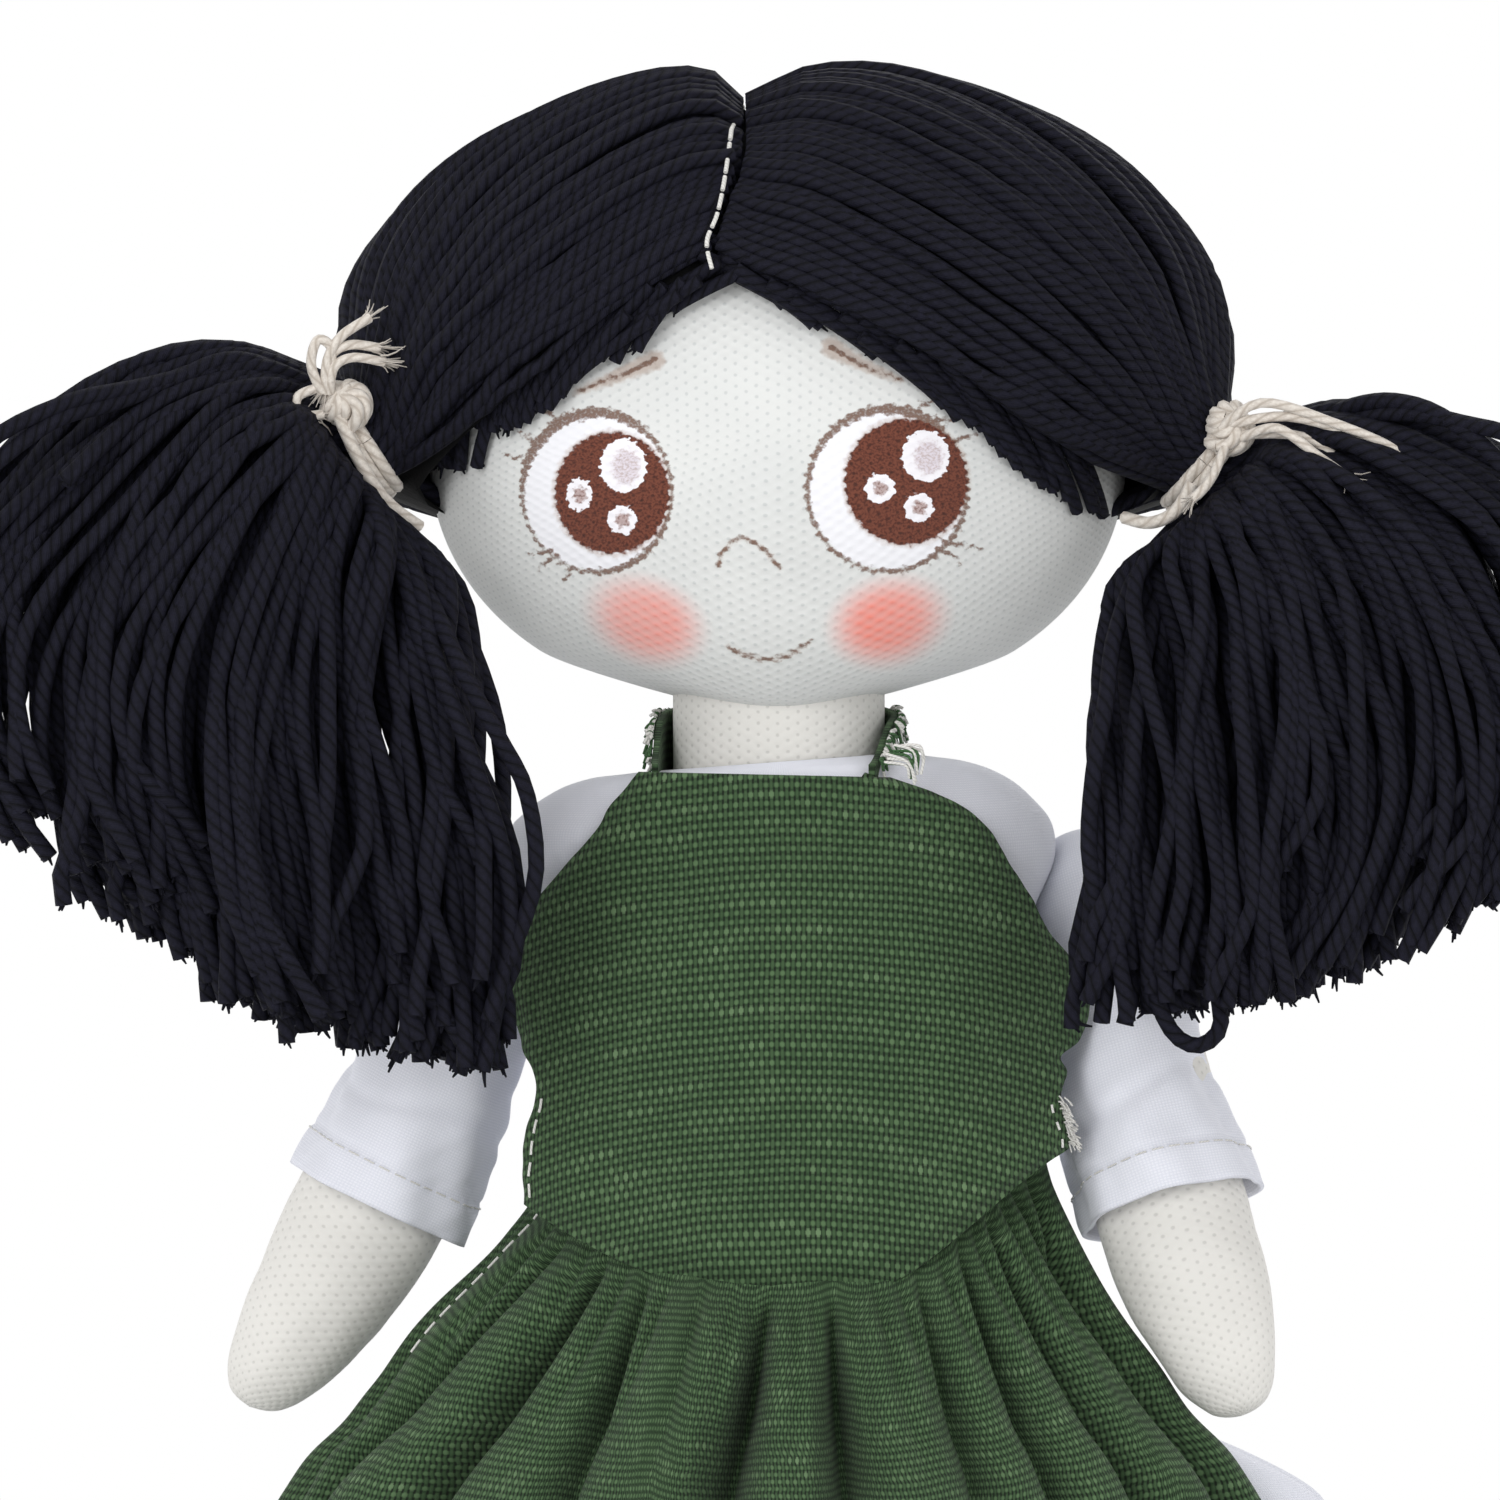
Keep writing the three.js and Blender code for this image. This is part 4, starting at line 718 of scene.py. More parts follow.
def head_panel(name, front, rows, columns, material, *nodes):
    """Front or back panel of the head: rings about the panel's middle, out to the side seam."""
    side = -1 if front else 1
    polar = linspace(1 / rows, 1, rows)[:, None] * pi / 2
    angle = -side * rings(columns)
    tall = np.where(sin(angle) > 0, HEAD_ABOVE, HEAD_BELOW)
    pinch = SEAM_PINCH * exp(-((pi / 2 - polar) * 16) ** 2)
    full = (np.abs(cos(angle)) ** JAW + np.abs(sin(angle)) ** JAW) ** (-1 / JAW)
    full = mix(1.0, np.where(sin(angle) < 0, full, 1.0), sin(polar))
    points = HEAD_C + xyz((HEAD_WIDE - pinch) * full * sin(polar) * cos(angle),
                          side * HEAD_DEEP * cos(polar),
                          (tall - pinch) * full * sin(polar) * sin(angle))
    low = smoothstep(HEAD_C[2] - points[..., 2], 18, 34) * smoothstep(-points[..., 1], 5, 18)
    points[..., 2] -= CHIN_DROP * low * bell(points[..., 0], HEAD_C[0], CHIN_HALF)
    soft = ripples(points, SEED, 46) * 0.18 * sin(2 * polar)
    points = points + unit(points - HEAD_C) * soft[..., None]
    chin = smoothstep((HEAD_C[2] - points[..., 2]) / HEAD_BELOW, 0.78, 0.98)
    points[..., 0] -= CHIN_TAPER * chin * (points[..., 0] - HEAD_C[0])
    pole = np.broadcast_to(HEAD_C + [0, side * HEAD_DEEP, 0], (1, columns, 3))
    reach = np.linalg.norm(np.diff(np.concatenate([pole, points], 0), axis=0), axis=2).cumsum(0)
    turn, reach = (np.concatenate([values, values[:, :1]], 1) for values in (angle, reach))
    piece = grid_piece(name, points, material, ("head", "knit", *nodes), caps=(True, False),
                       uvs=np.stack([reach * cos(turn), reach * sin(turn)], -1),
                       values=face_values(points) if front else None)


# Hair

YARN_RADIUS = 1.1
WIG_SIZE = np.array([63.5, 45.0, 45.0])
WIG_BELOW = 52.0
PARTING_X, PARTING_DEEP, PARTING_WIDE = -6.0, 3.2, 6.0
PARTING_FRONT, PARTING_NAPE = 26.0, 222.0
TIE_SLOPES = {"left": 26.0, "right": 35.0}
SIDE_HANG, NAPE_HANG = {"left": 4.6, "right": 6.6}, 5.0
# How much fuller the photographed wig is than its solid
LEFT_RISE, RIGHT_RISE = 3.0, 2.4
# How far the parting bends at the forehead, and how far strands run along the bunch into a tie
PARTING_BEND, TIE_RUN = 4.5, 14
# Name, lift, strands a side, the first one's place, radius, sides, CAD nodes
CAP_LAYERS = [("hair_cap_yarn", -1.3, 84, 0.5, YARN_RADIUS * 1.06, 7, "hair_cap"),
              ("hair_cap_under_yarn", -2.9, 60, 0.25, YARN_RADIUS, 5)]


def tie_ways(side):
    """Unit vectors at a tie: outwards along the bunch, up across it, and forwards."""
    slope = radians(TIE_SLOPES[side])
    out = np.array([SIGN[side] * math.cos(slope), 0, -math.sin(slope)])
    up = np.array([SIGN[side] * math.sin(slope), 0, math.cos(slope)])
    return out, up, np.array([0, -1.0, 0])


def behind_face(points):
    """Keeps the low hair at the back of the head within the head's outline from the front."""
    low = (points[..., 2] - HEAD_C[2]) / HEAD_BELOW
    outline = HEAD_WIDE * np.sqrt(np.clip(1 - low**2, 0.02, 1)) - 5.0
    across = points[..., 0] - HEAD_C[0]
    excess = np.maximum(np.abs(across) - outline, 0) * smoothstep(points[..., 2], 290.0, 283.0)
    points[..., 0] -= np.sign(across) * excess
    return points


def on_wig(ways, lift):
    """Points on the outside of the wig in the given directions, with the parting's valley."""
    ways = unit(ways)
    x, y, z = (ways[..., k] for k in range(3))
    reach = xyz(WIG_SIZE[0], WIG_SIZE[1], np.where(z > 0, WIG_SIZE[2], WIG_BELOW))
    rise = np.where(x < -0.12, LEFT_RISE, RIGHT_RISE * mix(0.1, 1.0, smoothstep(x, -0.1, 0.25)))
    rise = rise * smoothstep(y, -0.88, -0.25)
    points = WIG_C + ways * (reach + (lift + rise)[..., None])
    valley = PARTING_DEEP * bell(points[..., 0], PARTING_X, PARTING_WIDE) * smoothstep(z, -0.3, 0.3)
    points[..., 2] -= valley * np.clip(z, 0, 1)
    points[..., 1] -= valley * y * 0.5
    return behind_face(points)


def slerp(a, b, t):
    """Directions from a to b along the shortest arc."""
    a, b = unit(a), unit(b)
    angle = np.arccos(np.clip((a * b).sum(-1), -1, 1))[..., None]
    return (sin((1 - t) * angle) * a + sin(t * angle) * b) / sin(angle)


def cap_strands(side, lift, count, first_place, draw):
    """Strands from the parting to a tie, over one side of the head."""
    out, up, front = tie_ways(side)
    share = (np.arange(count) + first_place) / count
    start = np.radians(mix(PARTING_FRONT, PARTING_NAPE, share))
    x = (PARTING_X - PARTING_BEND * smoothstep(start, 0.95, 0.42) + SIGN[side] * 0.8 - WIG_C[0]) / WIG_SIZE[0]
    flat = np.sqrt(1 - x * x)
    first = xyz(x, -cos(start) * flat, sin(start) * flat)
    place = np.radians(mix(-55.0, 235.0, share) + draw.normal(0, 5, count))
    radius = draw.uniform(4.6, 6.6, count)[:, None]
    last = TIES[side] + radius * (cos(place)[:, None] * front + sin(place)[:, None] * up) - out * 0.5
    aim = (last - WIG_C) / np.array([WIG_SIZE[0], WIG_SIZE[1], WIG_BELOW])
    t = linspace(0, 1, 26)[None, :, None]
    ways = slerp(first[:, None], aim[:, None], t)
    hang = SIDE_HANG[side] * smoothstep(-share, -0.34, 0.0) + NAPE_HANG * smoothstep(share, 0.72, 1.0)
    ways[..., 2] -= (hang[:, None] * sin(pi * t[..., 0]) ** 0.9) / WIG_SIZE[2]
    wander = np.cumsum(draw.normal(0, 0.0055, ways.shape), axis=1) * sin(pi * t)
    paths = on_wig(ways + wander, lift + draw.normal(0, 0.45, (count, 1)))
    return behind_face(mix(paths, last[:, None] + out * (t - 1) * TIE_RUN, smoothstep(t, 0.72, 1.0)))


# Tufts of cut yarn on the forehead: the ends' first and last place (x, z), the strands'
# direction from upright in degrees, their length and count
TUFTS = {
    "left": [((-54.5, 294.5), (-45.2, 292.2), (-6, -14), 27, 12),
             ((-44, 297.5), (-37.6, 298.6), (-16, -24), 24, 9),
             ((-36.4, 300.2), (-31.2, 302.4), (-30, -38), 20, 6),
             ((-30, 305), (-24.5, 309.5), (-44, -48), 15, 4),
             ((-23.6, 308.0), (-21.4, 309.2), (-28, -30), 13, 2),
             ((-19, 314.5), (-13, 318.6), (-52, -60), 12, 4)],
    "right": [((-3, 318.4), (2.5, 314.6), (66, 58), 12, 4), ((4, 313), (15.5, 307.6), (56, 50), 15, 7),
              ((17, 306.6), (28, 297.2), (48, 40), 15, 8), ((30.2, 295.4), (36, 291.0), (36, 28), 20, 6),
              ((37.4, 289.6), (45.6, 285.4), (26, 20), 20, 8)],
}


def on_face(x, z, lift):
    """A point just outside the head's front at a place in the front view."""
    tall = np.where(z > HEAD_C[2], HEAD_ABOVE, HEAD_BELOW)
    inside = 1 - ((x - HEAD_C[0]) / (HEAD_WIDE + lift)) ** 2 - ((z - HEAD_C[2]) / (tall + lift)) ** 2
    return xyz(x, -(HEAD_DEEP + lift) * np.sqrt(np.clip(inside, 0.0, 1)), z)


def fringe_strands(side, draw):
    """Cut yarn that comes out from under the cap onto the forehead."""
    t = linspace(0, 1, 9)
    paths = []
    for first, last, leans, length, count in TUFTS[side]:
        for share in linspace(0, 1, count):
            x, z = mix(np.array(first), np.array(last), share) + draw.normal(0, 0.5, 2)
            lean = radians(mix(*leans, share) + draw.normal(0, 5))
            reach = length * draw.uniform(0.85, 1.1)
            lift = mix(4.2, 1.4, t**0.7) + draw.uniform(-0.1, 0.9)
            paths.append(on_face(x - math.sin(lean) * reach * (1 - t) ** 1.15,
                                 z + math.cos(lean) * reach * (1 - t), lift))
    return paths


def make_hair():
    draw = np.random.default_rng(SEED)
    angle = rings(72)
    level = np.abs(cos(angle))
    low = np.where(sin(angle) < 0, mix(0.42, -0.42, level**1.4), mix(-0.66, -0.42, level))
    polar = (1 - linspace(0, 1, 22)[:, None]) * np.arccos(low)
    backing = on_wig(xyz(sin(polar) * cos(angle), sin(polar) * sin(angle), cos(polar)), -4.0)
    grid_piece("hair_backing", backing[:-1], "hair_cloth", ("head", "hair"), caps=(False, True))
    for name, lift, count, first_place, radius, sides, *nodes in CAP_LAYERS:
        paths = [path for side in SIDES for path in cap_strands(side, lift, count, first_place, draw)]
        strands(name, paths, radius, "hair", ("head", "hair", *nodes), sides)
    for side in SIDES:
        fringe = fringe_strands(side, draw)
        strands(f"fringe_{side}_yarn", fringe, YARN_RADIUS * 0.9, "hair", ("head", "hair", f"fringe_{side}"))
        loose, tapers = frays(fringe, draw, 1.1, spread=0.45)
        strands(f"fringe_{side}_ends", loose, 0.34, "hair", ("head", "hair"), 3, tapers)


# Bunches of yarn. Stations run from the tie to the cut ends, measured from the tie:
# outer edge (x, z), inner edge (x, z), depth behind the tie's middle and half depth
BUNCHES = {
    "left": [(0, 6.5, 0, -6.5, 0, 6.5), (9, 10.5, 2.5, -9, -0.5, 6), (20, 13.5, -6.5, -14, -5, 8.5),
             (34, 9, -12.5, -20, -10, 10), (50, -2.5, -15.5, -31, -14, 10.5),
             (63, -16, -19.5, -43.5, -18, 11), (66, -33, -23.5, -57, -21, 11.5),
             (60, -46, -23.4, -74, -22, 11.5), (50, -56, -20.5, -89, -22, 10.5)],
    "right": [(0, 6.5, 0, -6.5, 0, 6.5), (9, 6, 2, -9.5, -0.5, 6), (20, 8.5, -7.5, -13, -5, 8.5),
              (34, 5.5, -13.5, -18, -10, 9.5), (51, -5, -16.2, -27, -14, 10.5),
              (62, -21, -18.6, -38, -18, 11), (64, -36, -19.4, -51, -21, 11.5),
              (57, -50, -18.8, -66, -22, 11.5), (47, -61, -16, -79, -22, 10.5)],
}
BUNCH_STRANDS, LOCKS, BUNCH_POINTS = 320, 46, 26
# Where strands end, as a share of the stations, and how much locks and strands differ
BUNCH_END, LOCK_SPREAD, STRAND_SPREAD = 0.965, 0.055, 0.028
# How locks and their strands sway, across the bunch and along its depth: size and waves of each
SWAYS = [(0.035, 5.0, 0.05, 8), (0.2, 5.5, 0.14, 9)]
BUNCH_DROOP = {"left": 7.5, "right": 3.0}
OUTER_TRIM = {"left": 0.075, "right": 0.055}
# How far the loose strands lie outwards, upwards and in front of the tie's middle
LOOSE_OUT, LOOSE_UP, LOOSE_FRONT = 3.8, 2.0, 26.0
# Single strands that stand off the bunches, as (x outwards, z) from the tie
LOOSE_STRANDS = {
    "left": [[(0, 2), (5, 5.5), (9.3, 8.4), (14.3, 9.8), (19.3, 8.6), (24.3, 5), (31, -1), (38, -8)],
             [(0, 3), (6.4, 6), (13.6, 8.2), (20.7, 7.4), (30.7, 3.4), (39.3, 0.6), (48, -6)],
             [(0, 3), (8, 6.5), (18, 7.8), (28, 5.5), (38, 3), (49, -3), (58, -14)],
             [(1, -3), (-6, -12), (-13, -23.6), (-18.4, -35), (-23.4, -44), (-27.4, -52.1), (-28.6, -64),
              (-24.6, -76)],
             [(1, -3), (-5, -12), (-11, -24), (-15.5, -36), (-20, -48), (-24, -60), (-25, -72), (-22, -84)]],
    "right": [[(0, 2), (5.7, 3.4), (12.6, 4.6), (18.3, 6.4), (23.3, 6.6), (29, 4.6), (36, -1), (42, -9)],
              [(0, 2), (6, 2.8), (14, 3.6), (24, 5), (32.6, 3.2), (39.7, 1), (47, -5), (52, -14)],
              [(-2, -5), (-8, -11), (-13.6, -17.6), (-17.3, -27.3), (-18.6, -36), (-20.4, -46), (-21, -58),
               (-18.4, -70)],
              [(-2, -5), (-9, -16), (-13, -30), (-15, -46), (-15, -60), (-13, -70), (-11.5, -78), (-9, -83),
               (-5.5, -84.5), (-2.6, -82), (-3, -77)]],
}


def bunch_paths(side, draw):
    """Strands that fan out of a tie in loose locks and hang to uneven cut ends."""
    stations = np.array(BUNCHES[side], float)
    t = linspace(0, 1, BUNCH_POINTS)
    loose, pull = smoothstep(t, 0.06, 0.45), 1 - mix(1.0, 0.78, smoothstep(t, 0.35, 0.95))
    locks = [{"at": draw.uniform(-1, 1, 2), "end": draw.normal(0, LOCK_SPREAD), "wave": draw.uniform(0, 6.3, 3),
              "size": draw.normal(0, 1, 3)} for _ in range(LOCKS)]
    places = np.array([lock["at"] for lock in locks])
    flat_paths = []
    for _ in range(BUNCH_STRANDS):
        angle, radius = draw.uniform(0, 2 * pi), math.sqrt(draw.uniform(0.03, 1.0))
        p, q = radius * math.cos(angle), radius * math.sin(angle)
        lock = locks[int(np.argmin(np.hypot(places[:, 0] - p, places[:, 1] - q)))]
        end = BUNCH_END + min(lock["end"], 1 - BUNCH_END) + draw.normal(0, STRAND_SPREAD)
        end -= 0.07 * max(0.0, draw.normal(0, 1) - 0.9) + OUTER_TRIM[side] * smoothstep(p, -0.1, 0.4)
        outer_x, outer_z, inner_x, inner_z, back, deep = smooth_line(stations, t * min(end, 1.0)).T
        own = draw.uniform(0, 6.3, 3)
        across, along = (
            mix((p, q)[k], lock["at"][k], pull) + loose * (
                lock_size * lock["size"][k] * sin(lock_waves * t + lock["wave"][k])
                + own_size * sin(own_waves * t + own[k]))
            for k, (lock_size, lock_waves, own_size, own_waves) in enumerate(SWAYS))
        curl = smoothstep(t, 0.86, 1.0)
        x = mix(inner_x, outer_x, (1 + across) / 2) + loose * 1.1 * sin(11 * t + own[2])
        x = x + curl * draw.normal(0, 2.6)
        z = mix(inner_z, outer_z, (1 + across) / 2) + curl * draw.normal(0, 0.8)
        z = z - BUNCH_DROOP[side] * smoothstep(t, 0.4, 1.0) * (1 - np.clip(across, -1, 1) ** 2)
        flat_paths.append((x, back + deep * np.clip(along, -1.08, 1.08), z))
    for strand in LOOSE_STRANDS[side]:
        x, z = smooth_line(strand, t).T
        away = np.hypot(x, z)
        stand_off = smoothstep(away, 0, 14)
        flat_paths.append((x + LOOSE_OUT * stand_off, -LOOSE_FRONT * smoothstep(away, 0, 50) - 2.0,
                           z + LOOSE_UP * stand_off))
    return [TIES[side] + np.stack([SIGN[side] * x, y, z], 1) for x, y, z in flat_paths]


def make_bunch(side):
    body = f"pigtail_{side}"
    draw = np.random.default_rng(SEED + 10 + SIGN[side])
    paths = bunch_paths(side, draw)
    tapers = [mix(0.72, 1.0, smoothstep(linspace(0, 1, BUNCH_POINTS), 0.0, 0.12))] * len(paths)
    strands(f"{body}_yarn", paths, YARN_RADIUS * 1.12, "hair", (body, "hair", body), 8, tapers)
    loose, tapers = frays(paths, draw, 1.2, per_end=4, spread=0.55)
    strands(f"{body}_ends", loose, 0.4, "hair", (body, "hair"), 3, tapers)


# Ties of cream yarn round the bunches

TAILS = {
    "left": [[(-65.5, 303), (-65.2, 307.5), (-63.2, 311), (-59.2, 313.7)],
             [(-65.5, 303), (-64.8, 308), (-62, 309.8), (-57.9, 309.4)],
             [(-65, 303), (-64.2, 306.6), (-61.5, 308), (-57.2, 307.4)],
             [(-65.5, 304), (-69.3, 302.5), (-69.2, 299.8), (-66, 299.9)],
             [(-66, 303), (-67.5, 307), (-66.5, 310.5), (-64.5, 309), (-65.5, 304)]],
    "right": [[(63, 298.5), (72, 299.5), (83, 296), (91, 291.5), (97, 289.8)],
              [(64, 297), (74, 296.5), (82, 290), (86, 284), (90, 281)],
              [(62, 298), (68, 301.5), (78, 298.5), (87, 294.5), (92, 290)],
              [(63, 296), (61, 291.5), (59.2, 289), (57.5, 287.6)],
              [(65, 296.5), (70, 297.8), (76, 293.5), (80, 290.6)]],
}
# The ends that lie on the head
HELD_TAILS = {"left": [(-64.4, 301.7), (-62.1, 296.3), (-59.4, 291), (-56.3, 287), (-52.2, 284)],
              "right": [(58, 290), (55.5, 286), (52, 284.5), (48.5, 285.3)]}
TAIL_Y = {"left": -23.5, "right": -24.0}
TAIL_FORWARD = {"left": 0.0, "right": 7.0}
WRAP_REACH, KNOT_REACH, KNOT_LOOPS = 7.4, 9.6, 6


def tail_paths(lines, side, draw):
    """Ends of the tie along lines in the front view."""
    t = linspace(0, 1, 22)
    paths = []
    for line in lines:
        x, z = smooth_line(line, t).T
        depth = TAIL_Y[side] - 1.5 * sin(pi * t) - TAIL_FORWARD[side] * t
        paths.append(np.stack([x, depth + 0.3 * draw.normal(), z], 1))
    return paths


def make_tie(side):
    out, up, front = tie_ways(side)
    draw = np.random.default_rng(SEED + 40 + SIGN[side])
    turn = linspace(0, 2 * pi, 49)[:, None]
    wraps = []
    for k, shift in enumerate((-0.4, 0.5)):
        reach = WRAP_REACH + 0.3 * k
        wraps.append(TIES[side] + out * (shift + 0.9 * sin(turn + k))
                     + reach * (cos(turn) * front + sin(turn) * up))
    away = unit(front + up * 0.8)
    across = np.cross(out, away)
    for k in range(KNOT_LOOPS):
        tilt = k * 0.6
        along = across * math.cos(tilt) + out * math.sin(tilt)
        aside = out * math.cos(tilt) - across * math.sin(tilt)
        wraps.append(TIES[side] + away * KNOT_REACH + cos(turn + k) * along * (3.8 - 0.35 * k)
                     + sin(turn + k) * away * 2.3 + aside * sin(2 * (turn + k)) * 1.3)
    strands(f"tie_{side}_wraps", wraps, 0.9, "tie", ("head", "tie_yarn", f"tie_{side}"), 8)
    body = f"pigtail_{side}"
    loose = tail_paths(TAILS[side], side, draw)
    ends, tapers = frays(loose, draw, 3.4, per_end=14)
    strands(f"tie_{side}_tails", loose, 0.72, "tie", (body, "tie_yarn"), 8)
    strands(f"tie_{side}_frays", ends, 0.16, "tie", (body, "tie_yarn"), 4, tapers)
    held = tail_paths([HELD_TAILS[side]], side, draw)
    held[0][:, 1] += linspace(0, 4.0 + TAIL_FORWARD[side], len(held[0]))
    strands(f"tie_{side}_held", held, 0.95, "tie", ("head", "tie_yarn"), 8)


def make_parting():
    """White hand stitches along the parting, from the forehead over the back of the head."""
    seen = [(-10.3, 320.5), (-11.0, 324.3), (-9.6, 328.6), (-8.6, 333.6), (-7.4, 341.4)]
    wide, tall = ((smooth_line(seen, linspace(0, 1, 40)) - WIG_C[[0, 2]]) / WIG_SIZE[[0, 2]]).T
    ways = xyz(wide, -np.sqrt(np.maximum(1 - wide**2 - tall**2, 0.01)), tall)
    rear = linspace(radians(104), radians(200), 60)
    over = xyz((PARTING_X - WIG_C[0]) / WIG_SIZE[0], -cos(rear), sin(rear))
    line = on_wig(np.vstack([ways, over]), 0.5)
    strands("parting_stitches_thread", stitch_paths(line, 2.6, 0.8), 0.33, "thread",
            ("head", "thread", "parting_stitches"), 6)


# Body. Stations are heights or lengths with a half width and a half depth

TORSO_STATIONS = [(-4, 18, 12), (3, 28, 18.5), (14, 32, 21.5), (36, 31, 21), (54, 32, 22.5), (68, 32.5, 23),
                  (82, 29.5, 21), (92, 24.5, 18.5), (98, 18.5, 16.8)]
ARM_STATIONS = [(79, 0, 0), (78.4, 2.6, 2.1), (77, 4.6, 3.6), (73, 7, 5.8), (66, 9.2, 7.6), (57, 10.8, 9.2),
                (47, 11.2, 10), (33, 10.8, 10.2), (15, 10, 10), (2, 9, 9)]
# Splay and forward lean in degrees, with the bow between them in millimetres
ARM_SHAPE = {"left": (26.0, -3.5, 0.0), "right": (15.0, -1.6, 16.0)}
ARM_LENGTH = 79.0
LONGER_HAND = {"left": 2.6, "right": 0.0}
SLEEVE_LENGTH, SLEEVE_CAP, SLEEVE_HEM_HALF = 47.0, 10.8, 13.2
# The share of a sleeve's rows in its round shoulder, and the share of its length down to the stitches
SLEEVE_ROUND, SLEEVE_SEAM = 0.22, 0.87
SLEEVE_PULL = {"left": 0.5, "right": 1.3}
# The last value is how far the foot reaches forwards
LEG_STATIONS = [(0, 10.4, 17.6, 8), (4, 11.2, 18.6, 8), (10, 10.6, 15.5, 5.5), (18, 9.4, 10, 1),
                (28, 9.4, 9.4, 0), (50, 11.6, 11.6, 0), (78, 11.2, 11.2, 0), (112, 12.8, 12.8, 0)]
HIP_BALL, SOLE, SHOE_TOP, SHOE_WALL = 13.5, 2.3, 15.0, 2.6


def arm_rings(side, below, wide, deep, angle):
    """Points round an arm at distances below its shoulder."""
    splay, bow, lean = ARM_SHAPE[side]
    splay, lean, sign = radians(splay), radians(lean), SIGN[side]
    bend = sign * bow * sin(pi * np.clip(below / ARM_LENGTH, 0, 1))
    below = below + LONGER_HAND[side] * smoothstep(below, 48, ARM_LENGTH)
    across = bend + wide * cos(angle)
    x = sign * math.sin(splay) * below + math.cos(splay) * across
    y = deep * sin(angle)
    z = sign * math.sin(splay) * across - math.cos(splay) * below
    return SHOULDERS[side] + xyz(x, y * math.cos(lean) + z * math.sin(lean),
                                 z * math.cos(lean) - y * math.sin(lean))


def make_neck():
    angle = rings(80)
    radius = NECK_R - 0.35 * exp(-((cos(angle) + 1) / 0.02) ** 2)
    height = linspace(NECK_LOW[2], NECK_HIGH[2], 24)[:, None]
    points = xyz(NECK_X + radius * cos(angle), radius * sin(angle), height)
    piece = grid_piece("neck_skin", points, "knit", ("neck", "knit", "neck_casing"), caps=(True, True))


def make_arm(side):
    angle = rings(96)
    below = np.concatenate([ARM_LENGTH - 6 * linspace(0, 1, 14) ** 2, linspace(72, 2, 50)])[:, None]
    wide, deep = at(ARM_STATIONS, below)
    hand = smoothstep(wide, 1, 6)
    seam = 0.14 * exp(-(np.abs(sin(angle)) / 0.06) ** 2) * hand
    points = arm_rings(side, below, np.maximum(wide - seam, 0.05), np.maximum(deep, 0.05), angle)
    out = points - points.mean(1, keepdims=True)
    out /= np.maximum(np.linalg.norm(out, axis=-1), 0.5)[..., None]
    points = points + out * (ripples(points, SEED + SIGN[side], 22) * 0.22 * hand)[..., None]
    piece = grid_piece(f"arm_{side}_skin", points, "knit", (f"arm_{side}", "knit", f"arm_{side}_casing"),
                       caps=(True, True))


def make_sleeve(side):
    """A wide short sleeve with soft creases, gathered into a round shoulder, and its turned hem."""
    sign, angle = SIGN[side], rings(150)
    t = linspace(0, 1, 84)[:, None]
    lift = (1 - np.clip(t / SLEEVE_ROUND, 0, 1)) * pi / 2
    below = np.where(t < SLEEVE_ROUND, -SLEEVE_CAP * sin(lift),
                     (t - SLEEVE_ROUND) / (1 - SLEEVE_ROUND) * SLEEVE_LENGTH)
    down = np.clip(below / SLEEVE_LENGTH, 0, 1)
    half = np.where(t < SLEEVE_ROUND, SLEEVE_CAP * cos(lift) * 0.999 + 0.01,
                    mix(SLEEVE_CAP, SLEEVE_HEM_HALF, smoothstep(down, 0.05, 1)))
    creases = 0.9 * cos(3 * angle + 5 * down + 1.1) + 0.55 * cos(7 * angle - 9 * down + sign)
    tucks = (0.7 * bell(down, 0.48 + 0.07 * cos(angle - 1), 0.035)
             + 0.55 * bell(down, 0.66 + 0.05 * sin(2 * angle), 0.03))
    swell = smoothstep(down, 0.2, 0.85) * (creases * 0.75 - tucks) - 0.25 * bell(down, 0.865, 0.012)
    wander = ripples(arm_rings(side, below, half, half, angle), SEED + 3 * sign, 17)
    hem = smoothstep(down, 0.86, 0.875)
    grow = (swell + wander * 0.32 + hem * 0.2) * smoothstep(t, 0.1, 0.35) + 0.25
    grow = grow - SLEEVE_PULL[side] * bell(down, 0.64, 0.22) * np.maximum(sign * cos(angle), 0)
    points = arm_rings(side, below, half + grow, half - 0.2 + grow, angle)
    piece = grid_piece(f"sleeve_{side}_cloth", points[::-1], "cotton",
                       (f"arm_{side}", "cotton", f"sleeve_{side}"), caps=(False, True), thickness=0.7)
    line = closed_line(points[int(np.argmin(np.abs(down[:, 0] - SLEEVE_SEAM)))], 0.12)
    running_stitches(f"sleeve_{side}_stitches", line, "sleeve", f"arm_{side}")


def make_shoulder_seam(side):
    """Whip stitches that join a sleeve to the side of the torso."""
    low, high = span(f"shoulder_seam_{side}")
    _, y, z = (low + high) / 2
    step = linspace(0, 1, 5)
    reach, x = 4.2 + 0.4 * sin(step * pi), mix(low[0] + 0.4, high[0] - 0.4, step)
    paths = [xyz(x, y + reach * cos(turn + 0.3 * step), z + reach * sin(turn + 0.3 * step))
             for turn in linspace(0, 2 * pi, 17)[:-1]]
    strands(f"shoulder_{side}_stitches", paths, 0.28, "thread",
            (f"shoulder_{side}", "thread", f"shoulder_seam_{side}"), 6)


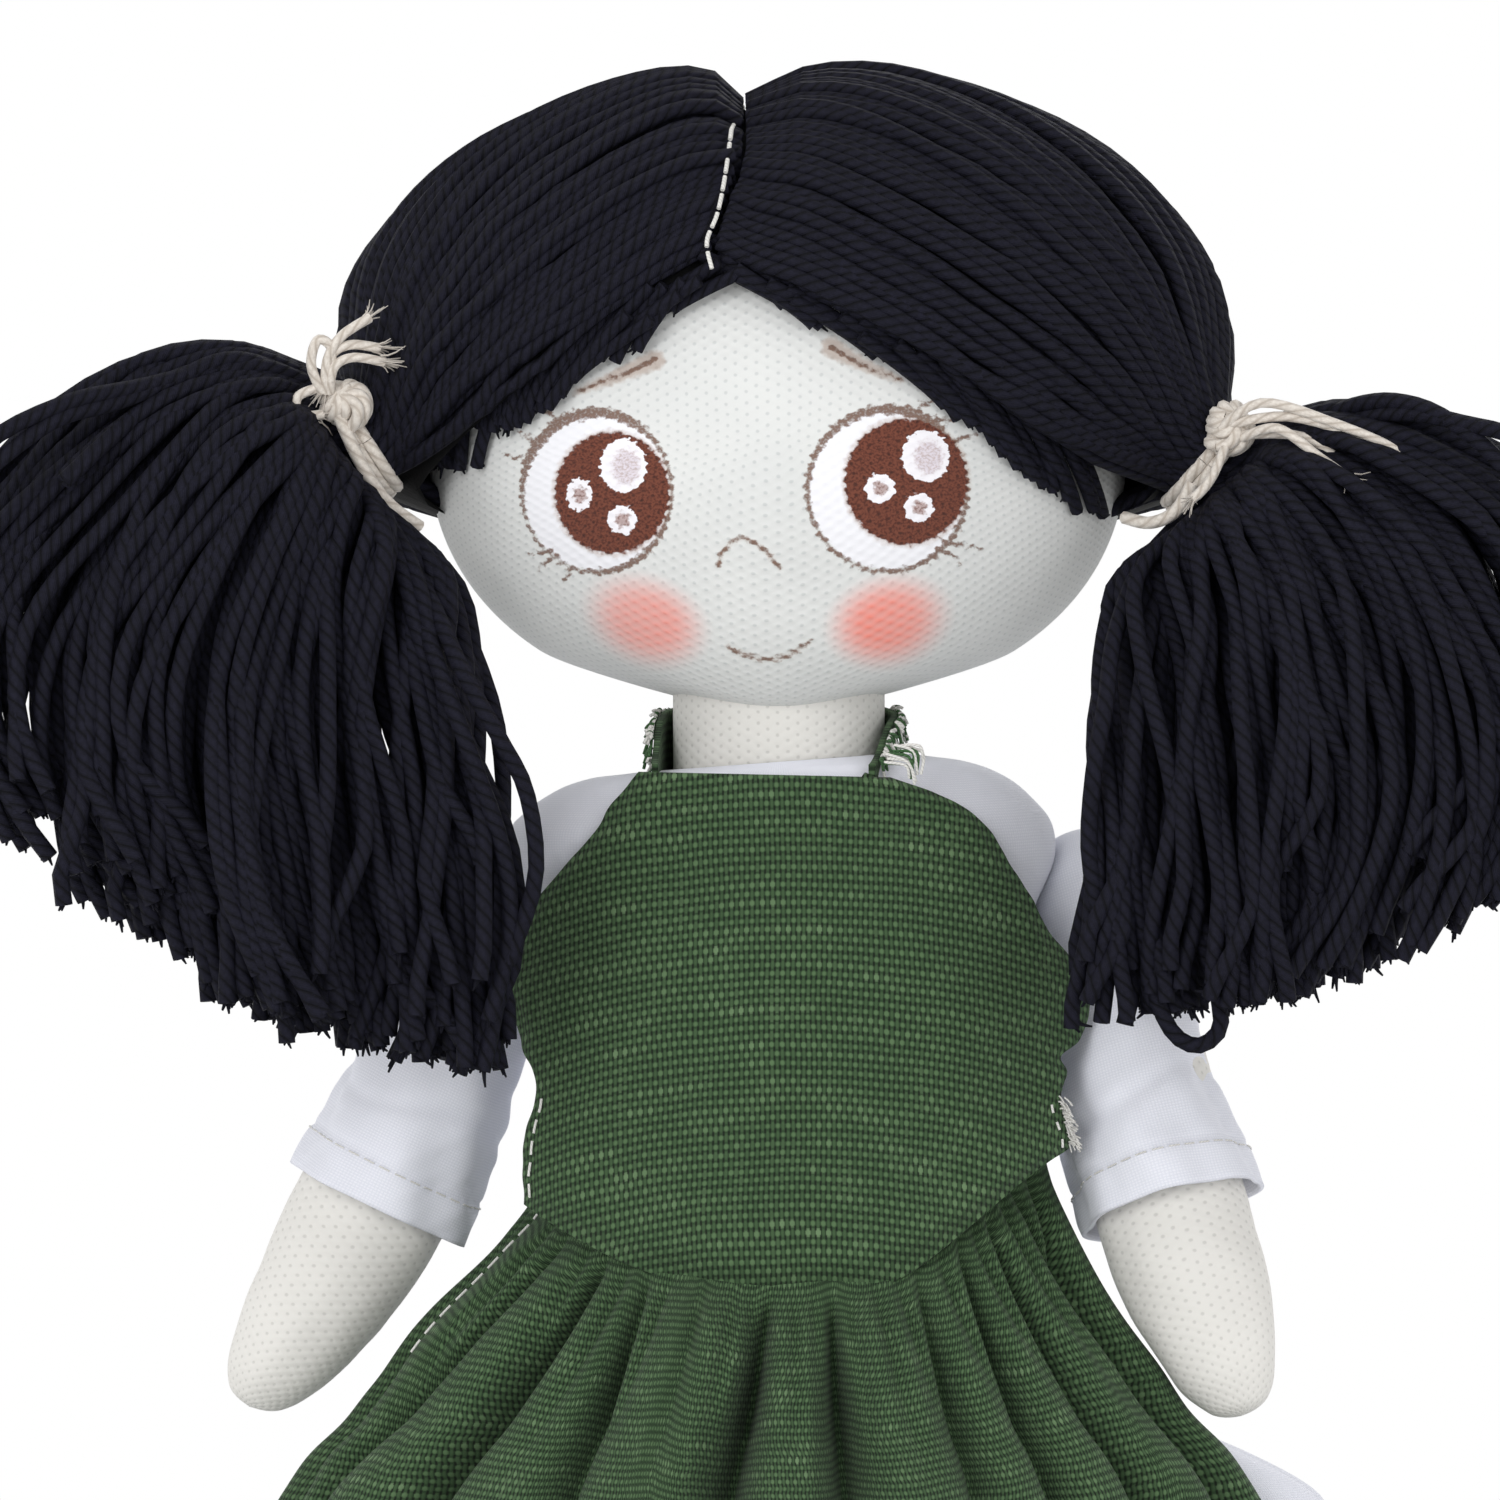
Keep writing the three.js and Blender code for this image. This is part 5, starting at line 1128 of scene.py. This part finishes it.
def make_leg(side):
    hip, angle = HIPS[side], rings(84)
    height = np.concatenate([linspace(SOLE, 18, 26), linspace(20, HIP_Z, 44)])[:, None]
    wide, deep, front = at(LEG_STATIONS + [(HIP_Z - 2.2, HIP_BALL, HIP_BALL, 0)], height - SOLE)
    lift = linspace(0.05, 1.05, 12)[:, None]
    wide, deep, front, height = (np.vstack([leg, ball]) for leg, ball in (
        (wide, HIP_BALL * cos(lift)), (deep, HIP_BALL * cos(lift)), (front, 0 * lift),
        (height, hip[2] + HIP_BALL * sin(lift))))
    seam = 0.35 * exp(-(np.abs(sin(angle)) / 0.05) ** 2)
    points = xyz(hip[0] + (wide - seam) * cos(angle), deep * sin(angle) - front, height)
    piece = grid_piece(f"leg_{side}_skin", points, "knit", (f"leg_{side}", "knit", f"leg_{side}_casing"),
                       caps=(True, True))


def make_shoe(side):
    """A low linen slipper: sole seam, soft upper and a turned top edge."""
    angle = rings(110)
    level = np.concatenate([[0.0], linspace(0.0, 2.2, 6), linspace(2.8, SHOE_TOP, 26)])[:, None]
    share = np.where(np.arange(len(level)) == 0, 0.93, 1.0)[:, None]
    wide, deep, front = at(LEG_STATIONS, np.maximum(level - SOLE, 0))
    wall = SHOE_WALL - 0.8 * bell(level, SOLE, 0.7) + 0.25 * smoothstep(level, 12, 12.6)
    wall = wall + 0.18 * cos(9 * angle + 3) * smoothstep(level, 3, 9)
    points = xyz(HIPS[side][0] + share * (wide + wall) * cos(angle),
                 share * (deep + wall) * sin(angle) - front, level)
    piece = grid_piece(f"shoe_{side}_cloth", points, "linen", (f"leg_{side}", "linen", f"shoe_{side}"),
                       caps=(True, False), thickness=1.1)
    running_stitches(f"shoe_{side}_stitches", closed_line(points[-5], 0.1), "shoe", f"leg_{side}")


# Dress and apron. The waist and the collar are measured from the hips, the hems from the floor

DRESS_WAIST, COLLAR, DRESS_HEM, APRON_HEM = 24.0, 100.6, 67.0, 74.0
SIDE_SEAM, SEAM_DIP, BIB_TOP, BIB_TALL = HIP_Z + 37, 13.0, HIP_Z + 99, 75.0
# Depth below the side seam, half width, half depth
SKIRT_STATIONS = [(-4, 36.5, 25.5), (0, 37.5, 26.5), (13, 44, 31), (29, 55, 40), (42, 65, 48), (75, 80, 65),
                  (113, 90, 78), (122, 92, 80)]
# Height on the bib, reach to the left and right of the torso's middle, depth in front
BIB_STATIONS = [(0, 39, 39, 27.5), (9, 39, 39, 27), (20, 38, 37.6, 26.2), (26, 37.2, 38.6, 26),
                (29.5, 37.4, 37.9, 26), (33, 39.2, 40.6, 26), (37, 40.6, 41.8, 25.9), (43, 42.0, 41.8, 25.6),
                (46.5, 42.2, 40.0, 25.3), (51.5, 41.0, 36.6, 24.6), (60, 34.3, 31.6, 23),
                (66, 29, 28.5, 21.6), (69.5, 26.8, 25.2, 20.9), (72.5, 24.6, 20.0, 20.2),
                (75, 22.6, 13.5, 19.4)]
# The bodice follows the torso and runs out over the shoulders
BODICE_STATIONS = TORSO_STATIONS[:6] + [(78, 33.5, 22), (85, 37, 20.8), (90.5, 37.2, 19), (94.3, 34.5, 17.6),
                                        (97.6, 30, 16.6), (99.4, 25, 15.8), (100.1, 20, 15.2),
                                        (COLLAR, 15.4, 14.9)]
# The apron's main folds: x of each valley at the seam and at the photograph's lower edge, strength
APRON_VALLEYS = [(-43, -72, 0.7), (-35.5, -63, 0.45), (-28.1, -54, 0.9), (-21.3, -33, 0.6),
                 (-2.0, -13.7, 1.1), (6.8, 9.4, 1.0), (20.5, 28.4, 0.45), (28.3, 40, 0.5), (34, 53, 0.45),
                 (40, 64, 0.6)]
VALLEY_DEPTH = 11.0
SEAM_HALF, PHOTO_EDGE_HALF, SKIRT_TALL = 46.0, 66.0, 113.0
SEAM_RISE, PANEL_SWELL, TUCK_DEPTH = 8.0, 5.2, 2.4
# How far the dress skirt lies inside the apron's line, and where it swells
DRESS_INSET, LEFT_INSET, FRONT_INSET = 5.5, 12.0, 19.0
BACK_SWELL, RIGHT_SWELL, SEAT_GAP = 7.0, 13.0, 2.6
# The bib: gap to the bodice, belly at the waist, roundness, hems at the sides and the top
BIB_GAP, BIB_BELLY, BIB_ROUND, BIB_SIDE_HEM, BIB_TOP_HEM = 1.1, 4.2, 46.5, 4.2, 5.0
# Short tucks near the seam, between the main folds
APRON_TUCKS = [-39, -31.5, -24.6, -17.5, -12, -7.5, -4.8, 1.5, 4.2, 9.5, 13.5, 17, 24.3, 31, 37.2]
FOLDS, FOLD_WAIST, FOLD_HEM, SKIRT_LEFT_FLARE = 12, 0.6, 5.5, 6.0
STRAP_REACH, STRAP_THREADS, WAIST_TIE_REACH = 16.6, 90, 3.9
FRONT = -pi / 2


def seam_rise(across):
    """The waist seam climbs on the right."""
    return SEAM_RISE * smoothstep(across, 0.2, 0.95)


def apron_top(angle):
    return SIDE_SEAM - SEAM_DIP * np.maximum(-sin(angle), 0) ** 1.5 + seam_rise(cos(angle)) + 3.0


def from_front(x, half):
    """The angle from the front of a place x on a skirt of this half width."""
    return math.asin(np.clip((x - TORSO_X) / half, -0.99, 0.99))


def valley_line(top, low, strength):
    """A valley as its angle from the front at the seam and at the hem, and its strength."""
    start = from_front(top, SEAM_HALF)
    return start, start + (from_front(low, PHOTO_EDGE_HALF) - start) * 1.55, strength


def spread_valleys(low, high, count, draw):
    """Main folds where the photograph shows none, at uneven places."""
    places = linspace(low, high, count) + draw.normal(0, 0.028, count)
    return [(a, a + draw.normal(0, 0.04), draw.uniform(0.35, 0.95)) for a in places]


def gathers(off_front, under, lines, tucks, half):
    """Folds at an angle from the front: deep valleys between soft panels, under 0 at the seam."""
    lines = sorted(lines)
    edges = np.stack([mix(a, b, under**0.85) for a, b, _ in lines])
    total = np.zeros(np.broadcast(off_front, under).shape)
    depth = mix(1.6, VALLEY_DEPTH, smoothstep(under, -0.02, 0.2))
    depth = depth * mix(0.4, 1.0, smoothstep(cos(off_front), -0.1, 0.6))
    width = mix(0.8, 2.6, smoothstep(under, 0.0, 0.4))
    for left, right in zip(edges[:-1], edges[1:]):
        p = np.clip((off_front - left) / np.maximum(right - left, 1e-4), 0, 1)
        total = total + np.minimum(0.26 * half * (right - left), PANEL_SWELL) * (4 * p * (1 - p)) ** 0.8
    for edge, (_, _, strength) in zip(edges, lines):
        away = np.abs(off_front - edge) * half / (width * (0.55 + 0.6 * strength))
        total = total - depth * strength * exp(-away**1.7)
    for place in tucks:
        away = (off_front - place * (1 + 0.4 * under)) * half / mix(0.8, 2.0, under)
        total = total - TUCK_DEPTH * smoothstep(under, 0.36, 0.03) * exp(-away**2)
    return total


def skirt_grid(angle, top, hem, rows, lines, tucks, inset):
    """Rows of points round a skirt, with how far each lies below its top, from 0 to 1."""
    off_front = angle - FRONT
    height = mix(hem, top, linspace(0, 1, rows)[:, None])
    wide, deep = at(SKIRT_STATIONS, SIDE_SEAM - height)
    reach = np.clip((SIDE_SEAM - height) / SKIRT_TALL, 0, 1.05)
    under = np.clip((top - height) / (top - hem), 0, 1)
    fold = mix(FOLD_WAIST, FOLD_HEM, reach) * cos(FOLDS * angle) * 0.2 * smoothstep(under, 0.1, 0.9)
    folds = fold + gathers(off_front, under, lines, tucks, (wide + deep) / 2)
    base = xyz(TORSO_X + wide * cos(angle), deep * sin(angle), height)
    soft = ripples(base, SEED + 5, 34) * 0.7 * smoothstep(under, 0.02, 0.4)
    flare = SKIRT_LEFT_FLARE * smoothstep(-cos(angle), 0.6, 1) * smoothstep(SIDE_SEAM - height, 2, 20)
    grow = folds * smoothstep(under, 0.0, 0.07) + soft - inset + flare
    points = base + unit(xyz(deep * cos(angle), wide * sin(angle), 0)) * grow[..., None]
    points[..., 2] += 0.2 * sin(off_front * 23) * smoothstep(under, 0.7, 1)
    return points, under


def skirt_uvs(points, fullness):
    """Cloth coordinates that keep the threads running down each fold."""
    rows = np.linalg.norm(np.diff(points, axis=1), axis=2)
    widest = np.concatenate([[0], rows[0].cumsum()]) * fullness
    along = np.linalg.norm(np.diff(points, axis=0), axis=2)
    v = np.concatenate([np.zeros((1, points.shape[1])), along.cumsum(0)], 0)
    v = mix(v, v.mean(1, keepdims=True), 0.75)
    local = np.concatenate([np.zeros((len(rows), 1)), rows.cumsum(1)], 1)
    local = local - local[:, -1:] / 2 + widest[-1] / 2
    return np.stack([mix(np.broadcast_to(widest, v.shape), local, 0.35), v], -1)


def make_apron_skirt():
    """The gathered apron, and white running stitches down its left edge."""
    draw = np.random.default_rng(SEED + 20)
    lines = [valley_line(*valley) for valley in APRON_VALLEYS]
    lines += spread_valleys(-1.9, -1.35, 4, draw) + spread_valleys(1.22, 1.6, 3, draw)
    tucks = [from_front(x, SEAM_HALF) for x in APRON_TUCKS]
    angle = linspace(FRONT - radians(98), FRONT + radians(79), 320)[None, :]
    points, under = skirt_grid(angle, apron_top(angle), APRON_HEM, 150, lines, tucks, 0)
    tuck_in = 0.4 * smoothstep(under, 0.05, 0.0) - 2.4 * bell(under, 0.12, 0.08)
    points[..., 1] += np.maximum(-sin(angle), 0) * tuck_in
    piece = grid_piece("apron_skirt_cloth", points, "linen", ("torso", "linen", "apron_skirt"),
                       uvs=skirt_uvs(points, 1.1), closed=False, thickness=0.9)
    line = points[::-1, 46]
    line = line + unit((line - [TORSO_X, 0, 0]) * [1, 1, 0]) * 0.2
    running_stitches("apron_left_stitches", line[2:32], "apron", "torso")


def make_dress_skirt():
    draw = np.random.default_rng(SEED + 30)
    # The folds are weaker at the right, where the skirt shows below the apron
    lines = [(a, b, strength * (1 - 0.7 * smoothstep(math.cos(a), 0.1, 0.7)))
             for a, b, strength in spread_valleys(-pi, pi, 31, draw)]
    lines[-1] = (lines[0][0] + 2 * pi, lines[0][1] + 2 * pi, lines[0][2])
    angle = FRONT - pi + rings(400)
    # Well inside the apron at the front and at its left edge, closer to it elsewhere
    left_edge = smoothstep(-cos(angle), 0.6, 0.97) * smoothstep(-sin(angle), -0.32, -0.12)
    inset = np.maximum(mix(DRESS_INSET, LEFT_INSET, left_edge),
                       mix(DRESS_INSET, FRONT_INSET, smoothstep(-sin(angle), 0.0, 0.5)))
    points, under = skirt_grid(angle, HIP_Z + DRESS_WAIST + 0 * angle, DRESS_HEM, 110, lines, [], inset)
    full = BACK_SWELL * smoothstep(sin(angle), -0.02, 0.4) * sin(pi / 2 * np.clip(under * 1.5, 0, 1))
    right = bell(np.angle(exp(1j * angle)), 0.12, 0.26)
    flare = RIGHT_SWELL * right * smoothstep(points[..., 2], 157, 143)
    out = xyz(cos(angle), sin(angle), 0)
    points = points + out * (full + flare)[..., None]
    wide, deep = at(TORSO_STATIONS, DRESS_WAIST)
    seat = xyz(TORSO_X + (wide + SEAT_GAP) * cos(angle), (deep + SEAT_GAP) * sin(angle), points[..., 2])
    points = mix(points, seat, smoothstep(under, 0.22, 0.0)[..., None])
    ring = np.concatenate([points, points[:, :1]], 1)
    piece = grid_piece("dress_skirt_cloth", points, "cotton", ("torso", "cotton", "dress_skirt"),
                       uvs=skirt_uvs(ring, 1.15), thickness=0.8)
    line = ring[5] + np.vstack([out[0], out[0][:1]]) * 0.15
    running_stitches("dress_hem_stitches", line, "dress", "torso")


def make_bodice():
    v = np.concatenate([linspace(DRESS_WAIST, 88, 56), linspace(88.4, 98, 22), linspace(98.15, COLLAR, 30)])
    v, angle = v[:, None], rings(150)
    wide, deep = at(BODICE_STATIONS, v)
    centre = mix(TORSO_X, NECK_X, smoothstep(v, 60, 98))
    base = xyz(centre + wide * cos(angle), deep * sin(angle), HIP_Z + v)
    soft = ripples(base, SEED + 8, 18) * 0.22 * smoothstep(v, 24, 30)
    points = base + xyz(cos(angle), sin(angle), 0) * (2.2 + soft)[..., None]
    points[..., 2] += (1.3 * cos(angle) - 0.2) * smoothstep(v, 80, COLLAR)
    piece = grid_piece("dress_bodice_cloth", points, "cotton", ("torso", "cotton", "dress_bodice"),
                       thickness=0.8)


def bib_points(u, v, lift=0.0):
    """Points on the bib at shares of its width and height, lifted off the bodice."""
    left, right, front = at(BIB_STATIONS, v * BIB_TALL)
    across = mix(-left, right, u)
    lean = np.sqrt(1 - (across / np.maximum(BIB_ROUND, (left + right) / 2 * 1.14)) ** 2)
    rise = (SEAM_DIP * (2 * u - 1) ** 2 + seam_rise(2 * u - 1)) * (1 - v) ** 3
    height = mix(SIDE_SEAM - SEAM_DIP, BIB_TOP, v) + rise - 0.8 * u * smoothstep(v, 0.9, 1)
    return xyz(TORSO_X + across, -(front + BIB_BELLY * (1 - v) ** 4 + BIB_GAP + lift) * lean, height)


def level_uvs(points):
    """Cloth coordinates whose weft threads lie level and whose warp spreads from the middle column."""
    across = np.linalg.norm(np.diff(points[..., :2], axis=1), axis=2)
    u = np.concatenate([np.zeros((points.shape[0], 1)), across.cumsum(1)], 1)
    x = points[..., 0] - TORSO_X
    centre = np.abs(x).argmin(1)[:, None]
    u = u - np.take_along_axis(u, centre, 1) + np.take_along_axis(x, centre, 1)
    return np.stack([u, points[..., 2] + 0.004 * u**2], -1)


def make_bib():
    """The bib: topstitched edges that roll a little, soft drag lines from the straps to the waist."""
    u, v = linspace(0, 1, 200)[None, :], linspace(0, 1, 170)[:, None]
    side = np.minimum(u, 1 - u)
    left_half, right_half, _ = at(BIB_STATIONS, v * BIB_TALL)
    from_side = side * (left_half + right_half)
    fold = 0.5 * bell(from_side, BIB_SIDE_HEM, 0.5) + 0.35 * bell((1 - v) * BIB_TALL, BIB_TOP_HEM, 0.5)
    roll = 0.9 * smoothstep(from_side, 2.4, 0.0) + 3.4 * smoothstep(v * BIB_TALL, 6.0, 0.0)
    drag = 0.5 * sin((u * 9 + v * 3) * 2.2) * smoothstep(v, 0.5, 0.15) * smoothstep(side, 0.02, 0.16)
    soft = ripples(bib_points(u, v), SEED + 9, 44) * 0.5 * smoothstep(side, 0, 0.1)
    points = bib_points(u, v, soft - fold * 0.5 - roll + drag * 0.5)
    points[..., 0] += 0.35 * ripples(points, SEED + 11, 15) * smoothstep(side, 0.05, 0.0)
    piece = grid_piece("apron_bib_cloth", points, "linen", ("torso", "linen", "apron_bib"),
                       uvs=level_uvs(points), closed=False, thickness=1.0)
    left = stitch_paths(points[8:62, 3] - [0.15, 0.35, 0], 2.0, 1.1)
    right = stitch_paths(points[10:50, -4] + [0.15, -0.35, 0], 1.2, 1.4)
    strands("bib_stitches", left + right, 0.2, "thread", ("torso", "thread"), 5)
    draw = np.random.default_rng(SEED + 12)
    t = linspace(0, 1, 5)[:, None]
    paths = []
    for place in linspace(10, 46, 70):
        start = points[int(place), -1] + draw.normal(0, 0.25, 3)
        way = np.array([draw.uniform(0.5, 1.6), draw.uniform(-1.0, -0.1), draw.uniform(-1.4, 0.6)])
        paths.append(start + way * t + np.array([0, 0, -0.6]) * t**2)
    strands("bib_frayed_edge", paths, 0.13, "thread", ("torso", "thread"), 4)


def fringe_threads(points, bundle, draw):
    """Short threads along the strap's edge, and a bundle of longer ones at the bib's right corner."""
    paths = []
    t = linspace(0, 1, 5)[:, None]
    for _ in range(STRAP_THREADS):
        column = int(draw.choice([draw.integers(3, 40), draw.integers(120, 157)]))
        start = points[-1, column] if draw.uniform() < 0.6 else points[draw.integers(2, 9), column]
        out = unit((start - [NECK_X, 0, 0]) * [1, 1, 0])
        way = out * draw.uniform(0.2, 1.3) + [0, -0.5, draw.uniform(-2.2, 1.4)]
        paths.append(start + out * 0.4 + way * t + np.array([0, 0, -1.2]) * t**2)
    for _ in range(bundle):
        share = draw.uniform(0, 1)
        start = mix(np.array([13.7, 250.2]), np.array([17.4, 254.2]), share) + draw.normal(0, 0.25, 2)
        end = mix(np.array([17.8, 247.4]), np.array([19.8, 250.6]), share) + draw.normal(0, 0.4, 2)
        bend = (start + end) / 2 + [draw.uniform(0.9, 1.7), draw.uniform(0.6, 1.4)]
        x, z = smooth_line([start, bend, end], linspace(0, 1, 9)).T
        paths.append(np.stack([x, -20.2 - draw.uniform(0.2, 1.4) * sin(linspace(0, 3, 9)), z], 1))
    return paths


def make_neck_strap():
    u, v = linspace(0, 1, 160)[None, :], linspace(0, 1, 10)[:, None]
    ends = [bib_points(share, 1.0) - [NECK_X, 0, 0] for share in (0.95, 0.05)]
    angles = [math.atan2(end[0], -end[1]) for end in ends]
    reaches = [math.hypot(end[0], end[1]) - 0.8 for end in ends]
    angle = FRONT + mix(angles[0], 2 * pi + angles[1], u)
    reach = mix(STRAP_REACH, mix(*reaches, u), np.abs(2 * u - 1) ** 7)
    behind = 1 - np.abs(2 * u - 1) ** 3
    low = mix(BIB_TOP - 4.5, BIB_TOP - 1.6, smoothstep(behind, 0.05, 0.6)) + 1.0 * behind
    wander = 0.3 * ripples(np.stack([u * 60, u, u], -1), 4, 14)
    points = xyz(NECK_X + (reach + wander) * cos(angle), reach * sin(angle), low + mix(5.5, 10.6, behind) * v)
    grid_piece("neck_strap_cloth", points, "linen", ("torso", "linen", "neck_strap"), closed=False,
               thickness=0.9)
    draw = np.random.default_rng(SEED + 13)
    for name, material, bundle in (("green", "green_thread", 4), ("white", "thread", 7)):
        paths = fringe_threads(points, bundle, draw)
        strands(f"strap_{name}_fringe", paths, 0.24, material, ("torso", "thread"), 6)


def ribbon(name, line, ups, width, *nodes):
    """A flat strip of linen along a line of points, its width along ups."""
    v = linspace(-0.5, 0.5, 9)[:, None, None]
    grid_piece(name, line[None] + ups[None] * width * v, "linen", ("torso", "linen", *nodes), closed=False,
               thickness=0.8, offset=0.0)


def make_waist_tie_and_bow():
    low, high = span("waist_tie")
    height = (low[2] + high[2]) / 2
    wide, deep = at(TORSO_STATIONS, height - HIP_Z)
    wide, deep = wide + WAIST_TIE_REACH, deep + WAIST_TIE_REACH
    angle = linspace(radians(-14), pi, 120)
    line = xyz(TORSO_X + wide * cos(angle), deep * sin(angle), height + 0.4 * sin(angle * 7))
    ribbon("waist_tie_cloth", line, np.broadcast_to([0, 0, 1.0], line.shape), 7.0, "waist_tie")
    back, t = deep + 1.6, linspace(0, 1, 60)
    turn = t * 2 * pi
    for side in SIDES:
        sign = SIGN[side]
        loop = xyz(TORSO_X + sign * (1.5 + 6.8 * (1 - cos(turn))), back + 1.8 + 1.2 * sin(turn * 0.5),
                   height + 3.4 * sin(turn) + 0.8 - 0.75 * (1 - cos(turn)))
        ribbon(f"bow_loop_{side}", loop, unit(xyz(0.1 * sign, 0.85, 0.5 * cos(turn))), 3.6)
        drop = xyz(TORSO_X + sign * (1 + 6.5 * t), back + 1.5 + 10 * t**1.2, height - 17 * t - sin(t * 5))
        flat = unit(np.array([0.93, -0.15 * sign, 0.3 * sign]))
        ribbon(f"bow_tail_{side}", drop, np.broadcast_to(flat, drop.shape), 5.0)
    turn, v = rings(40), linspace(-1, 1, 24)[:, None]
    size = np.sqrt(1 - (v * 0.98) ** 2) * 0.35 + 0.65
    knot = xyz(TORSO_X + 2.6 * size * cos(turn), back + 2.2 + 2.4 * size * sin(turn), height + 3.4 * v)
    grid_piece("bow_knot", knot, "linen", ("torso", "linen", "waist_bow"), caps=(True, True))


# Floor, lights and camera. Each light: name, place, aim, size, power

LIGHTS = [("key", (-0.75, -1.35, 0.7), (0, 0, 0.25), 0.8, 5.9),
          ("fill", (0.9, -1.3, 0.3), (0, 0, 0.22), 1.0, 2.8),
          ("low_fill", (-1.0, -1.1, 0.05), (-0.05, 0, 0.18), 0.9, 1.5),
          ("back", (0.3, 1.3, 0.9), (0, 0, 0.25), 0.9, 4.0)]
FLOOR_CORNERS, FLOOR_RADIUS = 96, 700
# The world's strength as light, and how much brighter it is where it is seen
WORLD_LIGHT, WORLD_SEEN = 0.82, 0.18


def make_floor():
    material = bpy.data.materials.new("pale_floor")
    material.use_nodes = True
    shader = material.node_tree.nodes["Principled BSDF"]
    shader.inputs["Base Color"].default_value = rgb("E6E6E6")
    shader.inputs["Roughness"].default_value = 0.8
    turn = rings(FLOOR_CORNERS)[0]
    disc = FLOOR_RADIUS * xyz(cos(turn), sin(turn), 0)
    floor = mesh_object("floor", disc, [list(range(FLOOR_CORNERS))], material)


def make_world_and_lights():
    world = bpy.data.worlds.new("studio")
    world.use_nodes = True
    bpy.context.scene.world = world
    tree = Tree(world.node_tree, "ShaderNode")
    path = tree.add("LightPath").outputs
    seen = tree.math("MAXIMUM", path["Is Camera Ray"],
                     tree.math("MAXIMUM", path["Is Transmission Ray"], path["Is Glossy Ray"]))
    background = world.node_tree.nodes["Background"]
    background.inputs["Color"].default_value = (1, 1, 1, 1)
    tree.feed(background.inputs["Strength"], seen * WORLD_SEEN + WORLD_LIGHT)
    for name, place, aim, size, power in LIGHTS:
        lamp = bpy.data.lights.new(name, "AREA")
        lamp.shape, lamp.size, lamp.energy = "DISK", size, power
        light = new_object(name, lamp)
        light.location = place
        light.rotation_euler = (Vector(aim) - Vector(place)).to_track_quat("-Z", "Y").to_euler()
    bpy.context.scene.view_settings.view_transform = "Standard"


def make_camera():
    camera = bpy.data.cameras.new("camera")
    camera.lens = camera.sensor_width * CAMERA_AWAY / PHOTO_WIDTH
    eye = new_object("camera", camera)
    eye.location = (CAMERA_X * MM, (PHOTO_PLANE_Y - CAMERA_AWAY) * MM, CAMERA_Z * MM)
    eye.rotation_euler = (pi / 2, 0, 0)
    bpy.context.scene.camera = eye


head_panel("head_front", True, 170, 460, "face", "head_casing")
head_panel("head_back", False, 40, 120, "knit")
make_hair()
for side in SIDES:
    make_bunch(side)
for side in SIDES:
    make_tie(side)
make_parting()
make_neck()
for side in SIDES:
    for make in (make_arm, make_sleeve, make_shoulder_seam, make_leg, make_shoe):
        make(side)
for make in (make_bodice, make_dress_skirt, make_apron_skirt, make_bib, make_neck_strap,
             make_waist_tie_and_bow, make_floor, make_world_and_lights, make_camera):
    make()
